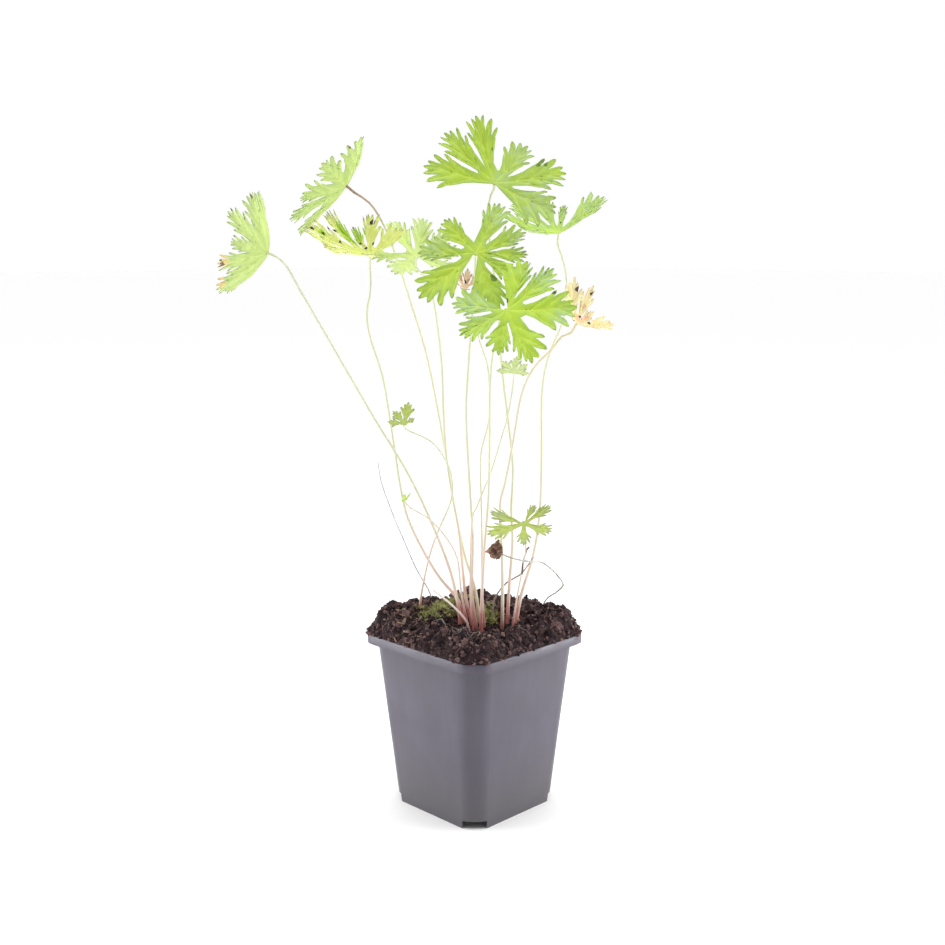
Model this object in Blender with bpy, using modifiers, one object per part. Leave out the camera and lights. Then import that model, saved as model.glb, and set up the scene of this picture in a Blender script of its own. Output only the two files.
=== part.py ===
"""A cranesbill growing in a square nursery pot.

The frame is metres with +Z up. The origin is under the middle of the whole plant, on the surface
that the pot stands on, and the pot's sides face along X and Y. The pot and its soil are laid out
about the pot's own axis. The plant is laid out in a second frame about that axis, turned by an
eighth of a turn, whose X runs across the pot from corner to corner: places there are written as
across, back and up, in millimetres.
"""
import math

import bmesh
import bpy
from mathutils import Matrix, Vector, noise

MM = 0.001
GAP = 0.0003                    # clearance between pieces that touch
CORNER_ON = math.radians(45.0)  # turn of the plant's frame against the pot's
POT_AXIS = (0.0160, 0.0103)         # place of the pot's axis: the leaves reach further to one side of it

# Pot: half widths of the square plan, and how far its cut corners are from the axis
POT_HEIGHT = 0.095
WALL = 0.0012
RIM_HALF = 0.045
RIM_CORNER = 0.0575
LIP_HEIGHT = 0.005
WALL_TOP_HALF = 0.0405
WALL_TOP_CORNER = 0.0512
FOOT_HALF = 0.0327
FOOT_CORNER = 0.0410
FOOT_SPARE = 0.002              # wall below the ground, trimmed so that the foot is flat
FLOOR_LEVEL = 0.0045
FLOOR_THICK = 0.0014
NOTCH_WIDTH = 0.0126            # the opening at each bottom corner that lets water out
NOTCH_REACH = 0.016
DRAIN_RADIUS = 0.003
DRAIN_OUT = 0.017

# Soil
SOIL_FLOOR = FLOOR_LEVEL + FLOOR_THICK + GAP
SOIL_NECK = 0.075               # below this the soil tapers with the pot
SOIL_CELLS = 20
SOIL_INSET = 0.0005             # soil's edge inside the lip's
SOIL_SLACK = 0.0007             # soil to the pot's inner wall
HEAP_EDGE = 0.0012
HEAP_RISE = 0.0105
HEAP_SHOULDER = 0.0095
HEAP_SLOPE = (45.0, 0.003)      # towards the front the heap is lower: over how far, and by how much
LUMPS = (0.011, 0.0030)         # size and height of the soil's lumps
CRUMBS = (0.0047, 0.0018)
HOLLOW_DEPTH = 0.0060
HOLLOW_AT = (7.0, -16.0)
HOLLOW_SIZE = (24.0, 15.0)

# Crowns, the rootstocks that the stalks rise from: across, back, half lengths
CROWN_TOP = 0.1000
CROWN_DEPTH = 0.012
CROWN_SIDES = 16
CROWN_BEVEL = 0.002
HOLE_SLACK = 0.0001             # added to the clearance round a foot, whose hole has flat sides
CUTTER_OVER = 0.02              # how far a cutter for a hole stands above the surface it opens
CROWNS = {
    "crown_left": ((-1.6, -14.5), (9.6, 7.4)),
    "crown_right": ((18.6, -14.6), (7.0, 6.4)),
}

# Stalks
STALK_FOOT = 0.0060             # depth of a foot in its crown
STEM_FOOT = 0.0080              # depth of a loose stem in the soil
FOOT_RADIUS = 0.0011
TIP_RADIUS = 0.00062
STEP = 0.013                    # spacing of the points along a stalk
ARRIVAL = 6.0                   # the last stretch of a stalk, square to its blade
SMALL_LEAF = 25.0               # a leaf with shorter lobes has a thinner stalk

# Blades
BLADE_THICK = 0.0006
NECK = 1.4                      # blade behind the stalk's end
CELL = 0.42                     # spacing of the cuts that let a blade bend, against its longest lobe
CELL_START = 0.27               # place of the first cut beside the stalk's end, in cells
LOBE_SPREAD = 22.0              # how far a lobe's lift carries round the blade, in degrees
LIFT_POWER = 1.4
OUTER_SPACE = 70.0              # room beside the first and last lobe, in degrees
MOST_HALF_SPACE = 40.0
SIDE_MARGIN = 1.5
CUT = 0.26                      # where two lobes part, against their length, unless a leaf says otherwise

# One side of a lobe from its foot to its tip, along and across, against the lobe's length
CUT_LOBE = (
    (0.28, 0.095), (0.44, 0.185), (0.68, 0.35), (0.585, 0.18),
    (0.86, 0.285), (0.72, 0.11), (0.94, 0.125), (0.885, 0.055),
)
YOUNG_LOBE = ((0.30, 0.085), (0.50, 0.18), (0.70, 0.30), (0.68, 0.13), (0.88, 0.14))
BUD_LOBE = ((0.35, 0.12), (0.70, 0.22))

GREEN = (0.28, 0.50, 0.06)
FRESH = (0.34, 0.58, 0.07)
PALE = (0.50, 0.66, 0.22)
YELLOWED = (0.78, 0.60, 0.24)
SPOTTED = (0.52, 0.60, 0.16)
STRAW = (0.62, 0.58, 0.34)
WITHERED = (0.42, 0.24, 0.14)
STALK = (0.60, 0.62, 0.30)
ROOTSTOCK = (0.30, 0.12, 0.09)

# Leaves: the place where the stalk meets the blade, the way the blade faces, its lobes as
# (direction in degrees, length, lift of the tip), and the stalk's route from its foot upwards
LEAVES = {
    "far_left": dict(
        at=(-105, -8, 296), face=(-0.82, 0.40, 0.30), colour=PALE, shape=CUT_LOBE,
        cut=0.42, lobes=((-92, 32, 13), (-50, 32, 14), (-8, 31, 14), (38, 32, 14), (86, 31, 13),
                         (132, 28, 11)),
        foot=(-7.6, -14.5), route=((-9, -14, 115), (-15, -12, 138), (-32, -11, 178), (-53, -10, 214),
                                   (-75, -9, 253), (-89, -9, 278), (-95, -8.6, 289)),
    ),
    "upper_left": dict(
        at=(-68.4, 33, 331.3), face=(-0.74, 0.30, 0.60), colour=PALE, shape=CUT_LOBE,
        cut=0.42, lobes=((-95, 38, 9), (-52, 34, 9), (-8, 31, 8), (38, 30, 7), (84, 29, 6), (130, 26, 5)),
        foot=(2.6, -10.3), route=((0, -8.5, 122), (-5, -4, 137), (-10.5, 2, 162), (-15, 8, 188),
                                  (-20, 15, 215), (-26, 22, 243), (-34.5, 29, 270), (-43, 33, 296),
                                  (-50, 34.5, 313), (-56.5, 34.5, 322.6)),
    ),
    "spotted": dict(
        at=(-54, 6, 295), face=(0.05, -0.20, 0.98), colour=SPOTTED, shape=CUT_LOBE,
        lobes=((28, 26, 14), (84, 22, 18), (134, 29, 19), (180, 36, 13), (216, 32, 9), (262, 27, 8)),
        foot=(-5.6, -10.2), route=((-8.5, -11, 115), (-20, -12, 130), (-32.5, -10, 153),
                                   (-38, -8, 171), (-44, -4, 210), (-48, -1, 233), (-54, 1.5, 252),
                                   (-56, 3, 265), (-54, 4.5, 277)),
    ),
    "pale": dict(
        at=(-30.5, 22, 294), face=(0.10, -0.30, 0.95), colour=PALE, shape=CUT_LOBE,
        lobes=((-50, 22, 0), (-8, 24, 5), (32, 26, 10), (70, 27, 14), (106, 25, 13),
               (182, 27, 1), (228, 25, -3)),
        foot=(-1.5, -10.4), route=((-5, -9.5, 118), (-8, -5, 149), (-11.5, -1, 168), (-15, 3, 191),
                                   (-16.5, 7.5, 215), (-17.5, 12, 240), (-21.5, 17.5, 270),
                                   (-26, 20.5, 283)),
    ),
    "broad_upper": dict(
        at=(0.6, -22, 296), face=(0.05, -0.82, 0.57), colour=GREEN, shape=CUT_LOBE,
        lobes=((-174, 30, -2), (-139, 37, -4), (-71, 33, -3), (-1, 26, 1), (26, 28, 2), (68, 34, 2),
               (124, 26, 2)),
        foot=(0.8, -14.4), route=((-1.5, -12, 120), (-1, -12, 149), (-2.5, -13.5, 176),
                                  (-4.3, -15, 213), (-3.5, -15.5, 235), (-1.5, -15, 262),
                                  (0, -14.5, 282)),
    ),
    "broad_lower": dict(
        at=(15.3, -46, 269), face=(-0.05, -0.82, 0.57), colour=FRESH, shape=CUT_LOBE,
        lobes=((175, 27, 0), (-150, 26, -1), (-100, 27, -2), (-65, 34, -3), (3, 34, 0), (47, 34, 0),
               (71, 31, 0)),
        foot=(3.4, -18.3), route=((3.8, -19, 120), (5, -21, 145), (7, -27, 175), (7.5, -31, 205),
                                  (7.5, -34.5, 228), (9, -37, 248), (13, -38, 261)),
    ),
    "top": dict(
        at=(10.3, 8, 331.5), face=(0.05, -0.90, 0.43), colour=GREEN, shape=CUT_LOBE,
        lobes=((-28, 35, -2), (4, 37, 0), (47, 28, 0), (105, 40, 0), (131, 39, 0), (160, 38, 0)),
        foot=(17.4, -11.0), route=((18.5, -9.5, 125), (20, -8, 146), (19.3, -6.5, 163), (20, -4.5, 187),
                                   (17, -2, 214), (14, 0.5, 240), (12, 3, 272), (8, 8, 300),
                                   (7, 12, 320)),
    ),
    "right_back": dict(
        at=(45.8, 44, 307), face=(0.05, -0.12, 0.99), colour=GREEN, shape=CUT_LOBE,
        lobes=((-42, 26, 11), (4, 32, 17), (54, 28, 19), (102, 31, 21), (148, 36, 19), (182, 37, 17),
               (220, 32, 11)),
        foot=(22.0, -12.4), route=((25, -8, 118), (31.5, -1, 138), (35, 6, 160), (36, 13, 188),
                                   (36.5, 22, 223), (40.5, 27, 242), (47.5, 32, 258),
                                   (50.3, 36, 272), (49.5, 40, 287)),
    ),
    "yellowed": dict(
        at=(51, -25, 262), face=(0.45, -0.30, 0.84), colour=YELLOWED, shape=YOUNG_LOBE,
        lobes=((-60, 14, 5), (-14, 20, 0), (24, 18, 7), (64, 17, 14), (106, 16, 17), (152, 13, 11)),
        foot=(14.6, -16.2), route=((14.6, -17, 125), (14, -18, 148), (13, -19, 168), (15.6, -20, 180),
                                   (19.5, -21, 201), (23.5, -22, 225), (29.5, -23, 239),
                                   (38, -23.5, 248), (43.5, -24, 255)),
    ),
    "withered_small": dict(
        at=(-4.4, -4, 279), face=(0.10, -0.40, 0.90), colour=WITHERED, shape=YOUNG_LOBE,
        lobes=((20, 8, 6), (75, 9, 7), (130, 8, 7), (190, 9, 6), (250, 8, 3)),
        foot=(5.2, -14.4), route=((4, -12.5, 120), (3.9, -11, 149), (3.4, -10, 170), (3.3, -8.5, 193),
                                  (7.5, -7.5, 212), (7, -6, 237), (3, -5, 250), (-2, -4, 268)),
    ),
    "yellow_small": dict(
        at=(20, -12, 236), face=(0.0, -0.50, 0.86), colour=STRAW, shape=YOUNG_LOBE,
        lobes=((-10, 8, 1), (35, 9, 2), (80, 11, 3), (125, 10, 2), (170, 9, 1)),
        foot=(-0.8, -18.3), route=((-2.2, -17, 122), (-1.5, -16, 158), (1, -15.5, 166), (5, -14.6, 176),
                                   (9, -13.8, 186), (14, -13, 203), (17.2, -12, 214)),
    ),
    "young_left": dict(
        at=(-36, -14, 210), face=(0.0, -0.80, 0.60), colour=FRESH, shape=YOUNG_LOBE,
        lobes=((30, 6, 0), (82, 13, 0), (130, 10, 0), (172, 9, 0)),
        foot=(-29.3, -2), route=((-28.2, -3, 118), (-24.2, -5, 137), (-19.5, -7, 151),
                                 (-12.5, -8.5, 168), (-11.8, -9.5, 180), (-15, -10, 190),
                                 (-22.5, -11, 200)),
    ),
    "bud_left": dict(
        at=(-36.5, -20, 171), face=(-0.60, -0.20, 0.78), colour=FRESH, shape=BUD_LOBE,
        lobes=((20, 4, 1), (80, 5, 1), (150, 5, 1)),
        foot=(-3.6, -14.4), route=((-7, -16.5, 121), (-9.2, -17.5, 140), (-16, -18.5, 152.5),
                                   (-24.6, -19, 161.7)),
    ),
    "low": dict(
        at=(25, -30, 161), face=(0.0, -0.75, 0.66), colour=FRESH, shape=YOUNG_LOBE,
        lobes=((-15, 15, 0), (30, 16, 2), (140, 15, 2), (175, 19, 0), (-152, 20, -2), (-95, 12, -3)),
        foot=(20.0, -17.6), route=((22.4, -20.5, 121), (24.8, -23.5, 136), (26.3, -25, 148)),
    ),
}

# Loose stems: foot, route, radii at foot and tip, colour. Their feet are in the soil
STEMS = {
    "stem_dead_grey": dict(
        foot=(-24.2, 22), route=((-25.5, 21.8, 112), (-32.4, 21.5, 124.4), (-38.3, 21.2, 138.7),
                                 (-44.2, 20.8, 153.4), (-50.6, 20.3, 172), (-52.5, 20, 184)),
        radii=(0.55, 0.40), colour=(0.45, 0.43, 0.42),
    ),
    "stem_dry_bent": dict(
        foot=(38.2, 14), route=((39.5, 13, 112), (45.5, 7, 117.5), (48.3, 2, 122), (44.5, -7, 130),
                                (38, -17, 136.5), (29.5, -27, 139.5), (21.5, -32, 141.5),
                                (16.0, -34, 143.6)),
        radii=(0.60, 0.50), colour=(0.44, 0.36, 0.32),
    ),
    "thread_dry": dict(
        foot=(9.8, -3.5), route=((10.5, -3.8, 113), (14, -4, 119.5), (17.5, -4.8, 123.5),
                                 (23.7, -8, 128), (27.3, -11, 133), (30.8, -13, 139)),
        radii=(0.55, 0.40), colour=(0.46, 0.36, 0.28),
    ),
}
STUB = dict(
    foot=(-5.0, -18.2), route=((-6.2, -18.6, 107), (-10, -18, 112), (-16.2, -14.5, 116),
                               (-22, -10, 120)),
    radii=(0.95, 0.70), colour=(0.80, 0.55, 0.50),
)

CLUMP_AT = (11.0, -34.2, 145.0)
CLUMP_HALF = (5.4, 5.0, 5.8)
CLUMP_CORE = 0.86
CLUMP_FOLDS = (1.9, 0.28)       # how close together, and how high
CLUMP_POINTS = (4.3, 0.20)
CLUMP_COLOUR = (0.13, 0.07, 0.05)
POT_GREY = (0.19, 0.18, 0.21)
PEAT = (0.045, 0.024, 0.022)


def empty_file():
    """Take every object out of the scene."""
    for old in list(bpy.data.objects):
        bpy.data.objects.remove(old, do_unlink=True)


def collection(name):
    """A new collection in the scene."""
    made = bpy.data.collections.new(name)
    bpy.context.scene.collection.children.link(made)
    return made


def material(name, colour, roughness):
    """A Principled material of one colour."""
    made = bpy.data.materials.new(name)
    made.use_nodes = True
    shader = made.node_tree.nodes["Principled BSDF"]
    shader.inputs["Base Color"].default_value = (*colour, 1.0)
    shader.inputs["Roughness"].default_value = roughness
    shader.inputs["Metallic"].default_value = 0.0
    return made


def add_object(name, data, parts, parent=None):
    """An object made of a mesh or a curve, or an empty for None, in a collection."""
    made = bpy.data.objects.new(name, data)
    parts.objects.link(made)
    made.parent = parent
    return made


def finish(bm, name):
    """A bmesh as a mesh with its normals outward."""
    bmesh.ops.recalc_face_normals(bm, faces=bm.faces)
    mesh = bpy.data.meshes.new(name)
    bm.to_mesh(mesh)
    bm.free()
    return mesh


def smooth(obj, angle):
    """Shade smooth, with edges past the angle kept sharp."""
    obj.data.shade_smooth()
    obj.data.set_sharp_from_angle(angle=math.radians(angle))


def hide_cutter(obj):
    """Mark an object as a cutter: not part of the model."""
    obj.hide_render = True
    obj.display_type = "WIRE"


def boolean(obj, other, operation):
    """Cut or join with another object."""
    cut = obj.modifiers.new(other.name, "BOOLEAN")
    cut.operation = operation
    cut.solver = "EXACT"
    cut.object = other


def plan_radius(turn, half, corner):
    """Distance from the axis to a square plan with cut corners, in a direction."""
    reach = []
    for k in range(8):
        side = corner if k % 2 else half
        lean = math.cos(turn - k * math.pi / 4)
        if lean > 1e-6:
            reach.append(side / lean)
    return min(reach)


def plan_corners(half, corner):
    """The eight corners of a square plan with cut corners, anticlockwise."""
    cut = corner * math.sqrt(2.0) - half
    return [
        (half, -cut), (half, cut), (cut, half), (-cut, half),
        (-half, cut), (-half, -cut), (-cut, -half), (cut, -half),
    ]


def pot_wall_plan(level):
    """Half width and corner distance of the pot's outer wall at a height."""
    part = level / (POT_HEIGHT - LIP_HEIGHT)
    half = FOOT_HALF + part * (WALL_TOP_HALF - FOOT_HALF)
    corner = FOOT_CORNER + part * (WALL_TOP_CORNER - FOOT_CORNER)
    return half, corner


def plan_ring(bm, half, corner, level):
    """A closed loop of edges on the pot's plan."""
    points = [bm.verts.new((x, y, level)) for x, y in plan_corners(half, corner)]
    return [bm.edges.new((points[i - 1], points[i])) for i in range(len(points))]


def plan_slab(name, half, corner, bottom, top, parts, stand):
    """A flat slab of the pot's plan."""
    bm = bmesh.new()
    ring = plan_ring(bm, half, corner, bottom)
    base = bmesh.ops.contextual_create(bm, geom=ring)["faces"]
    grown = bmesh.ops.extrude_face_region(bm, geom=base)
    raised = [item for item in grown["geom"] if isinstance(item, bmesh.types.BMVert)]
    bmesh.ops.translate(bm, verts=raised, vec=(0.0, 0.0, top - bottom))
    return add_object(name, finish(bm, name), parts, stand)


def make_pot(parts, cutters, stand):
    """The thin moulded shell with its turned-down lip, raised floor and corner notches."""
    foot = [side - WALL for side in pot_wall_plan(-FOOT_SPARE)]
    top = [side - WALL for side in pot_wall_plan(POT_HEIGHT - LIP_HEIGHT)]
    levels = [
        (*foot, -FOOT_SPARE),
        (*top, POT_HEIGHT - LIP_HEIGHT),
        (*top, POT_HEIGHT),
        (RIM_HALF, RIM_CORNER, POT_HEIGHT),
        (RIM_HALF, RIM_CORNER, POT_HEIGHT - LIP_HEIGHT),
    ]
    bm = bmesh.new()
    rings = [plan_ring(bm, *level) for level in levels]
    for lower, upper in zip(rings, rings[1:]):
        bmesh.ops.bridge_loops(bm, edges=lower + upper)
    bmesh.ops.recalc_face_normals(bm, faces=bm.faces)
    lip = max(bm.faces, key=lambda face: face.calc_center_median().length)
    if lip.normal.dot(lip.calc_center_median()) < 0.0:
        bmesh.ops.reverse_faces(bm, faces=bm.faces)
    mesh = bpy.data.meshes.new("pot")
    bm.to_mesh(mesh)
    bm.free()
    pot = add_object("pot", mesh, parts, stand)
    shell = pot.modifiers.new("Wall", "SOLIDIFY")
    shell.thickness = WALL
    shell.offset = -1.0
    shell.use_even_offset = True
    half, corner = pot_wall_plan(FLOOR_LEVEL)
    inset = WALL / 2
    floor = plan_slab(
        "pot_floor", half - inset, corner - inset, FLOOR_LEVEL, FLOOR_LEVEL + FLOOR_THICK,
        cutters, stand,
    )
    ground = plan_slab("ground", RIM_HALF, RIM_CORNER, -2 * FOOT_SPARE, 0.0, cutters, stand)
    boolean(pot, floor, "UNION")
    boolean(pot, ground, "DIFFERENCE")
    boolean(pot, make_notches(cutters, stand), "DIFFERENCE")
    boolean(pot, make_drains(cutters, stand), "DIFFERENCE")
    hide_cutter(floor)
    hide_cutter(ground)
    pot.data.materials.append(material("Grey plastic", POT_GREY, 0.5))
    smooth(pot, 20.0)
    return pot


def make_notches(cutters, stand):
    """Four blocks that open the bottom corners."""
    bm = bmesh.new()
    for k in range(4):
        turn = Matrix.Rotation(CORNER_ON + k * math.pi / 2, 4, "Z")
        out = FOOT_CORNER
        block = Matrix.Diagonal((NOTCH_REACH, NOTCH_WIDTH, 2 * FLOOR_LEVEL - GAP, 1.0))
        bmesh.ops.create_cube(bm, size=1.0, matrix=turn @ Matrix.Translation((out, 0.0, 0.0)) @ block)
    cutter = add_object("notches", finish(bm, "notches"), cutters, stand)
    hide_cutter(cutter)
    return cutter


def make_drains(cutters, stand):
    """Round holes through the floor."""
    bm = bmesh.new()
    places = [(0.0, 0.0), (DRAIN_OUT, 0.0), (0.0, DRAIN_OUT), (-DRAIN_OUT, 0.0), (0.0, -DRAIN_OUT)]
    for x, y in places:
        bmesh.ops.create_cone(
            bm, cap_ends=True, segments=10, radius1=DRAIN_RADIUS, radius2=DRAIN_RADIUS,
            depth=4 * FLOOR_THICK, matrix=Matrix.Translation((x, y, FLOOR_LEVEL + FLOOR_THICK / 2)),
        )
    cutter = add_object("drains", finish(bm, "drains"), cutters, stand)
    hide_cutter(cutter)
    return cutter


def ease(value):
    """Smooth step from 0 to 1."""
    value = min(max(value, 0.0), 1.0)
    return value * value * (3.0 - 2.0 * value)


def soil_height(x, y):
    """Height of the heaped soil at a place in the pot's frame."""
    place = Vector((x, y))
    turn = math.atan2(y, x)
    inside = plan_radius(turn, RIM_HALF, RIM_CORNER) - place.length
    across = (x * math.cos(CORNER_ON) + y * math.sin(CORNER_ON)) / MM
    back = (y * math.cos(CORNER_ON) - x * math.sin(CORNER_ON)) / MM
    dip = ((across - HOLLOW_AT[0]) / HOLLOW_SIZE[0]) ** 2 + ((back - HOLLOW_AT[1]) / HOLLOW_SIZE[1]) ** 2
    rise = ease(inside / HEAP_SHOULDER)
    front = HEAP_SLOPE[1] * ease(-back / HEAP_SLOPE[0])
    height = HEAP_EDGE + rise * (HEAP_RISE - front - HOLLOW_DEPTH * math.exp(-dip))
    lumps = noise.noise(Vector((x, y, 0.0)) / LUMPS[0]) * LUMPS[1]
    crumbs = noise.noise(Vector((x, y, 0.3)) / CRUMBS[0]) * CRUMBS[1]
    calm = 1.0 - 0.75 * math.exp(-dip * 2.0)
    return POT_HEIGHT + max(height + (0.25 + 0.75 * rise) * calm * (lumps + crumbs), HEAP_EDGE * 0.6)


def make_soil(parts, cutters, stand, pegs):
    """The plug of soil that fills the pot, heaped over its rim, with holes for what stands in it."""
    edge_half = RIM_HALF - SOIL_INSET
    edge_corner = RIM_CORNER - SOIL_INSET
    bm = bmesh.new()
    bmesh.ops.create_grid(bm, x_segments=SOIL_CELLS, y_segments=SOIL_CELLS, size=edge_half)
    for k in range(4):
        out = Matrix.Rotation(CORNER_ON + k * math.pi / 2, 3, "Z") @ Vector((1.0, 0.0, 0.0))
        bmesh.ops.bisect_plane(
            bm, geom=bm.verts[:] + bm.edges[:] + bm.faces[:], dist=1e-6,
            plane_co=out * edge_corner, plane_no=out, clear_outer=True,
        )
    bmesh.ops.triangulate(bm, faces=bm.faces)
    for vert in bm.verts:
        vert.co.z = soil_height(vert.co.x, vert.co.y)
    neck = pot_wall_plan(SOIL_NECK)
    foot = pot_wall_plan(FLOOR_LEVEL + FLOOR_THICK)
    inside = WALL + SOIL_SLACK
    mouth = (WALL_TOP_HALF - inside, WALL_TOP_CORNER - inside)
    skirt = [
        (edge_half, edge_corner, POT_HEIGHT + GAP),
        (*mouth, POT_HEIGHT + GAP),
        (neck[0] - inside, neck[1] - inside, SOIL_NECK),
        (foot[0] - inside, foot[1] - inside, SOIL_FLOOR),
    ]
    ring = [edge for edge in bm.edges if edge.is_boundary]
    for half, corner, level in skirt:
        grown = bmesh.ops.extrude_edge_only(bm, edges=ring)
        ring = [item for item in grown["geom"] if isinstance(item, bmesh.types.BMEdge)]
        for vert in {vert for edge in ring for vert in edge.verts}:
            turn = math.atan2(vert.co.y, vert.co.x)
            reach = plan_radius(turn, half, corner)
            vert.co = (reach * math.cos(turn), reach * math.sin(turn), level)
    bmesh.ops.contextual_create(bm, geom=ring)
    soil = add_object("soil", finish(bm, "soil"), parts, stand)
    boolean(soil, make_pockets(cutters, stand, pegs), "DIFFERENCE")
    soil.data.materials.append(material("Peat", PEAT, 0.95))
    smooth(soil, 40.0)
    return soil


def make_pockets(cutters, stand, pegs):
    """Plain round holes in the soil: one for each crown and each loose stem."""
    bm = bmesh.new()
    turn = Matrix.Rotation(CORNER_ON, 4, "Z")
    holes = [(*place, half[0] * MM, half[1] * MM, CROWN_TOP - CROWN_DEPTH, CROWN_SIDES)
             for place, half in CROWNS.values()]
    holes += [(across, back, radius, radius, foot, 8) for across, back, radius, foot in pegs]
    for across, back, half_x, half_y, foot, sides in holes:
        top = POT_HEIGHT + CUTTER_OVER
        low = foot - GAP
        size = Matrix.Diagonal((half_x + GAP, half_y + GAP, 1.0, 1.0))
        place = Matrix.Translation((across * MM, back * MM, (top + low) / 2))
        bmesh.ops.create_cone(
            bm, cap_ends=True, segments=sides, radius1=1.0, radius2=1.0, depth=top - low,
            matrix=turn @ place @ size,
        )
    cutter = add_object("pockets", finish(bm, "pockets"), cutters, stand)
    hide_cutter(cutter)
    return cutter


def make_crown(name, parts, cutters, frame, feet):
    """One rootstock: a low plug with a domed top and a plain hole for each stalk."""
    (across, back), (half_x, half_y) = CROWNS[name]
    bm = bmesh.new()
    bmesh.ops.create_cone(
        bm, cap_ends=True, segments=CROWN_SIDES, radius1=1.0, radius2=1.0, depth=CROWN_DEPTH,
        matrix=Matrix.Diagonal((half_x * MM, half_y * MM, 1.0, 1.0)),
    )
    top = [edge for edge in bm.edges if min(vert.co.z for vert in edge.verts) > 0.0]
    bmesh.ops.bevel(
        bm, geom=top, offset=CROWN_BEVEL, offset_type="OFFSET", segments=2, profile=0.5,
        affect="EDGES", material=-1,
    )
    crown = add_object(name, finish(bm, name), parts, frame)
    crown.location = (across * MM, back * MM, CROWN_TOP - CROWN_DEPTH / 2)
    bm = bmesh.new()
    low = CROWN_TOP - STALK_FOOT - GAP
    high = CROWN_TOP + CUTTER_OVER
    for x, y, radius in feet:
        wide = radius + GAP + HOLE_SLACK
        bmesh.ops.create_cone(
            bm, cap_ends=True, segments=8, radius1=wide, radius2=wide, depth=high - low,
            matrix=Matrix.Translation((x * MM, y * MM, (low + high) / 2)),
        )
    holes = add_object(name + "_holes", finish(bm, name + "_holes"), cutters, frame)
    boolean(crown, holes, "DIFFERENCE")
    hide_cutter(holes)
    crown.data.materials.append(material("Red rootstock", ROOTSTOCK, 0.7))
    smooth(crown, 35.0)


def smooth_route(points):
    """Points along one smooth curve through the route's own points."""
    ends = [2 * points[0] - points[1]] + points + [2 * points[-1] - points[-2]]
    run = []
    for before, start, stop, after in zip(ends, ends[1:], ends[2:], ends[3:]):
        pieces = max(1, round((stop - start).length / STEP))
        for k in range(pieces):
            t = k / pieces
            run.append(0.5 * (
                2 * start + (stop - before) * t
                + (2 * before - 5 * start + 4 * stop - after) * t * t
                + (3 * start - before - 3 * stop + after) * t ** 3
            ))
    return run + [points[-1]]


def make_stem(name, points, radii, colour, parts, frame):
    """A tapering round stem along a route."""
    run = smooth_route(points)
    curve = bpy.data.curves.new(name, "CURVE")
    curve.dimensions = "3D"
    curve.bevel_depth = radii[0]
    curve.bevel_resolution = 1
    curve.use_fill_caps = True
    spline = curve.splines.new("POLY")
    spline.points.add(len(run) - 1)
    for k, (point, place) in enumerate(zip(spline.points, run)):
        part = (k / (len(run) - 1)) ** 0.5
        point.co = (*place, 1.0)
        point.radius = 1.0 + part * (radii[1] / radii[0] - 1.0)
    stem = add_object(name, curve, parts, frame)
    curve.materials.append(material(name, colour, 0.55))
    return stem


def leaf_axes(face):
    """The blade's own axes: level to the right, up the blade, and out of its upper side."""
    out = Vector(face).normalized()
    level = Vector((0.0, 0.0, 1.0)).cross(out).normalized()
    return level, out.cross(level), out


def lobe_spaces(lobes):
    """The angle from each lobe to the next, and the lobes' order from the stalk's sinus round."""
    count = len(lobes)
    spaces = [(lobes[(k + 1) % count][0] - lobes[k][0]) % 360.0 for k in range(count)]
    sinus = max(range(count), key=lambda k: spaces[k])
    return spaces, [(sinus + 1 + k) % count for k in range(count)]


def lobe_side(shape, length, heading, half_space, side):
    """One side of a lobe, narrowed where its neighbour is close."""
    widest = max(math.degrees(math.atan2(across, along)) for along, across in shape)
    room = min(half_space, MOST_HALF_SPACE) - SIDE_MARGIN
    narrow = min(1.0, room / widest)
    points = []
    for along, across in shape:
        turn = math.degrees(math.atan2(across, along)) * narrow
        points.append((length * math.hypot(along, across), heading + side * turn))
    return points


def blade_outline(lobes, shape, cut):
    """The cut edge of a blade in its own plane, in millimetres."""
    spaces, order = lobe_spaces(lobes)
    outline = []
    for k, index in enumerate(order):
        heading, length, _ = lobes[index]
        last = k == len(order) - 1
        before = spaces[order[k - 1]] if k else OUTER_SPACE
        after = OUTER_SPACE if last else spaces[index]
        outline += lobe_side(shape, length, heading, before / 2, -1)
        outline.append((length, heading))
        outline += reversed(lobe_side(shape, length, heading, after / 2, 1))
        if not last:
            following = lobes[order[k + 1]][1]
            outline.append((cut * min(length, following), heading + after / 2))
    sinus = lobes[order[-1]][0] + spaces[order[-1]] / 2
    outline += [(NECK, sinus + turn) for turn in (-50.0, 0.0, 50.0)]
    return [(r * math.cos(math.radians(a)), r * math.sin(math.radians(a))) for r, a in outline]


def blade_lift(x, y, lobes):
    """Height of the blade above its plane: each lobe lifts or droops towards its tip."""
    reach = math.hypot(x, y)
    heading = math.degrees(math.atan2(y, x))
    total = 0.0
    weight = 0.0
    for direction, length, lift in lobes:
        away = abs((heading - direction + 180.0) % 360.0 - 180.0)
        near = math.exp(-((away / LOBE_SPREAD) ** 2)) + 1e-4
        total += near * lift * (reach / length) ** LIFT_POWER
        weight += near
    return total / weight


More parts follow.
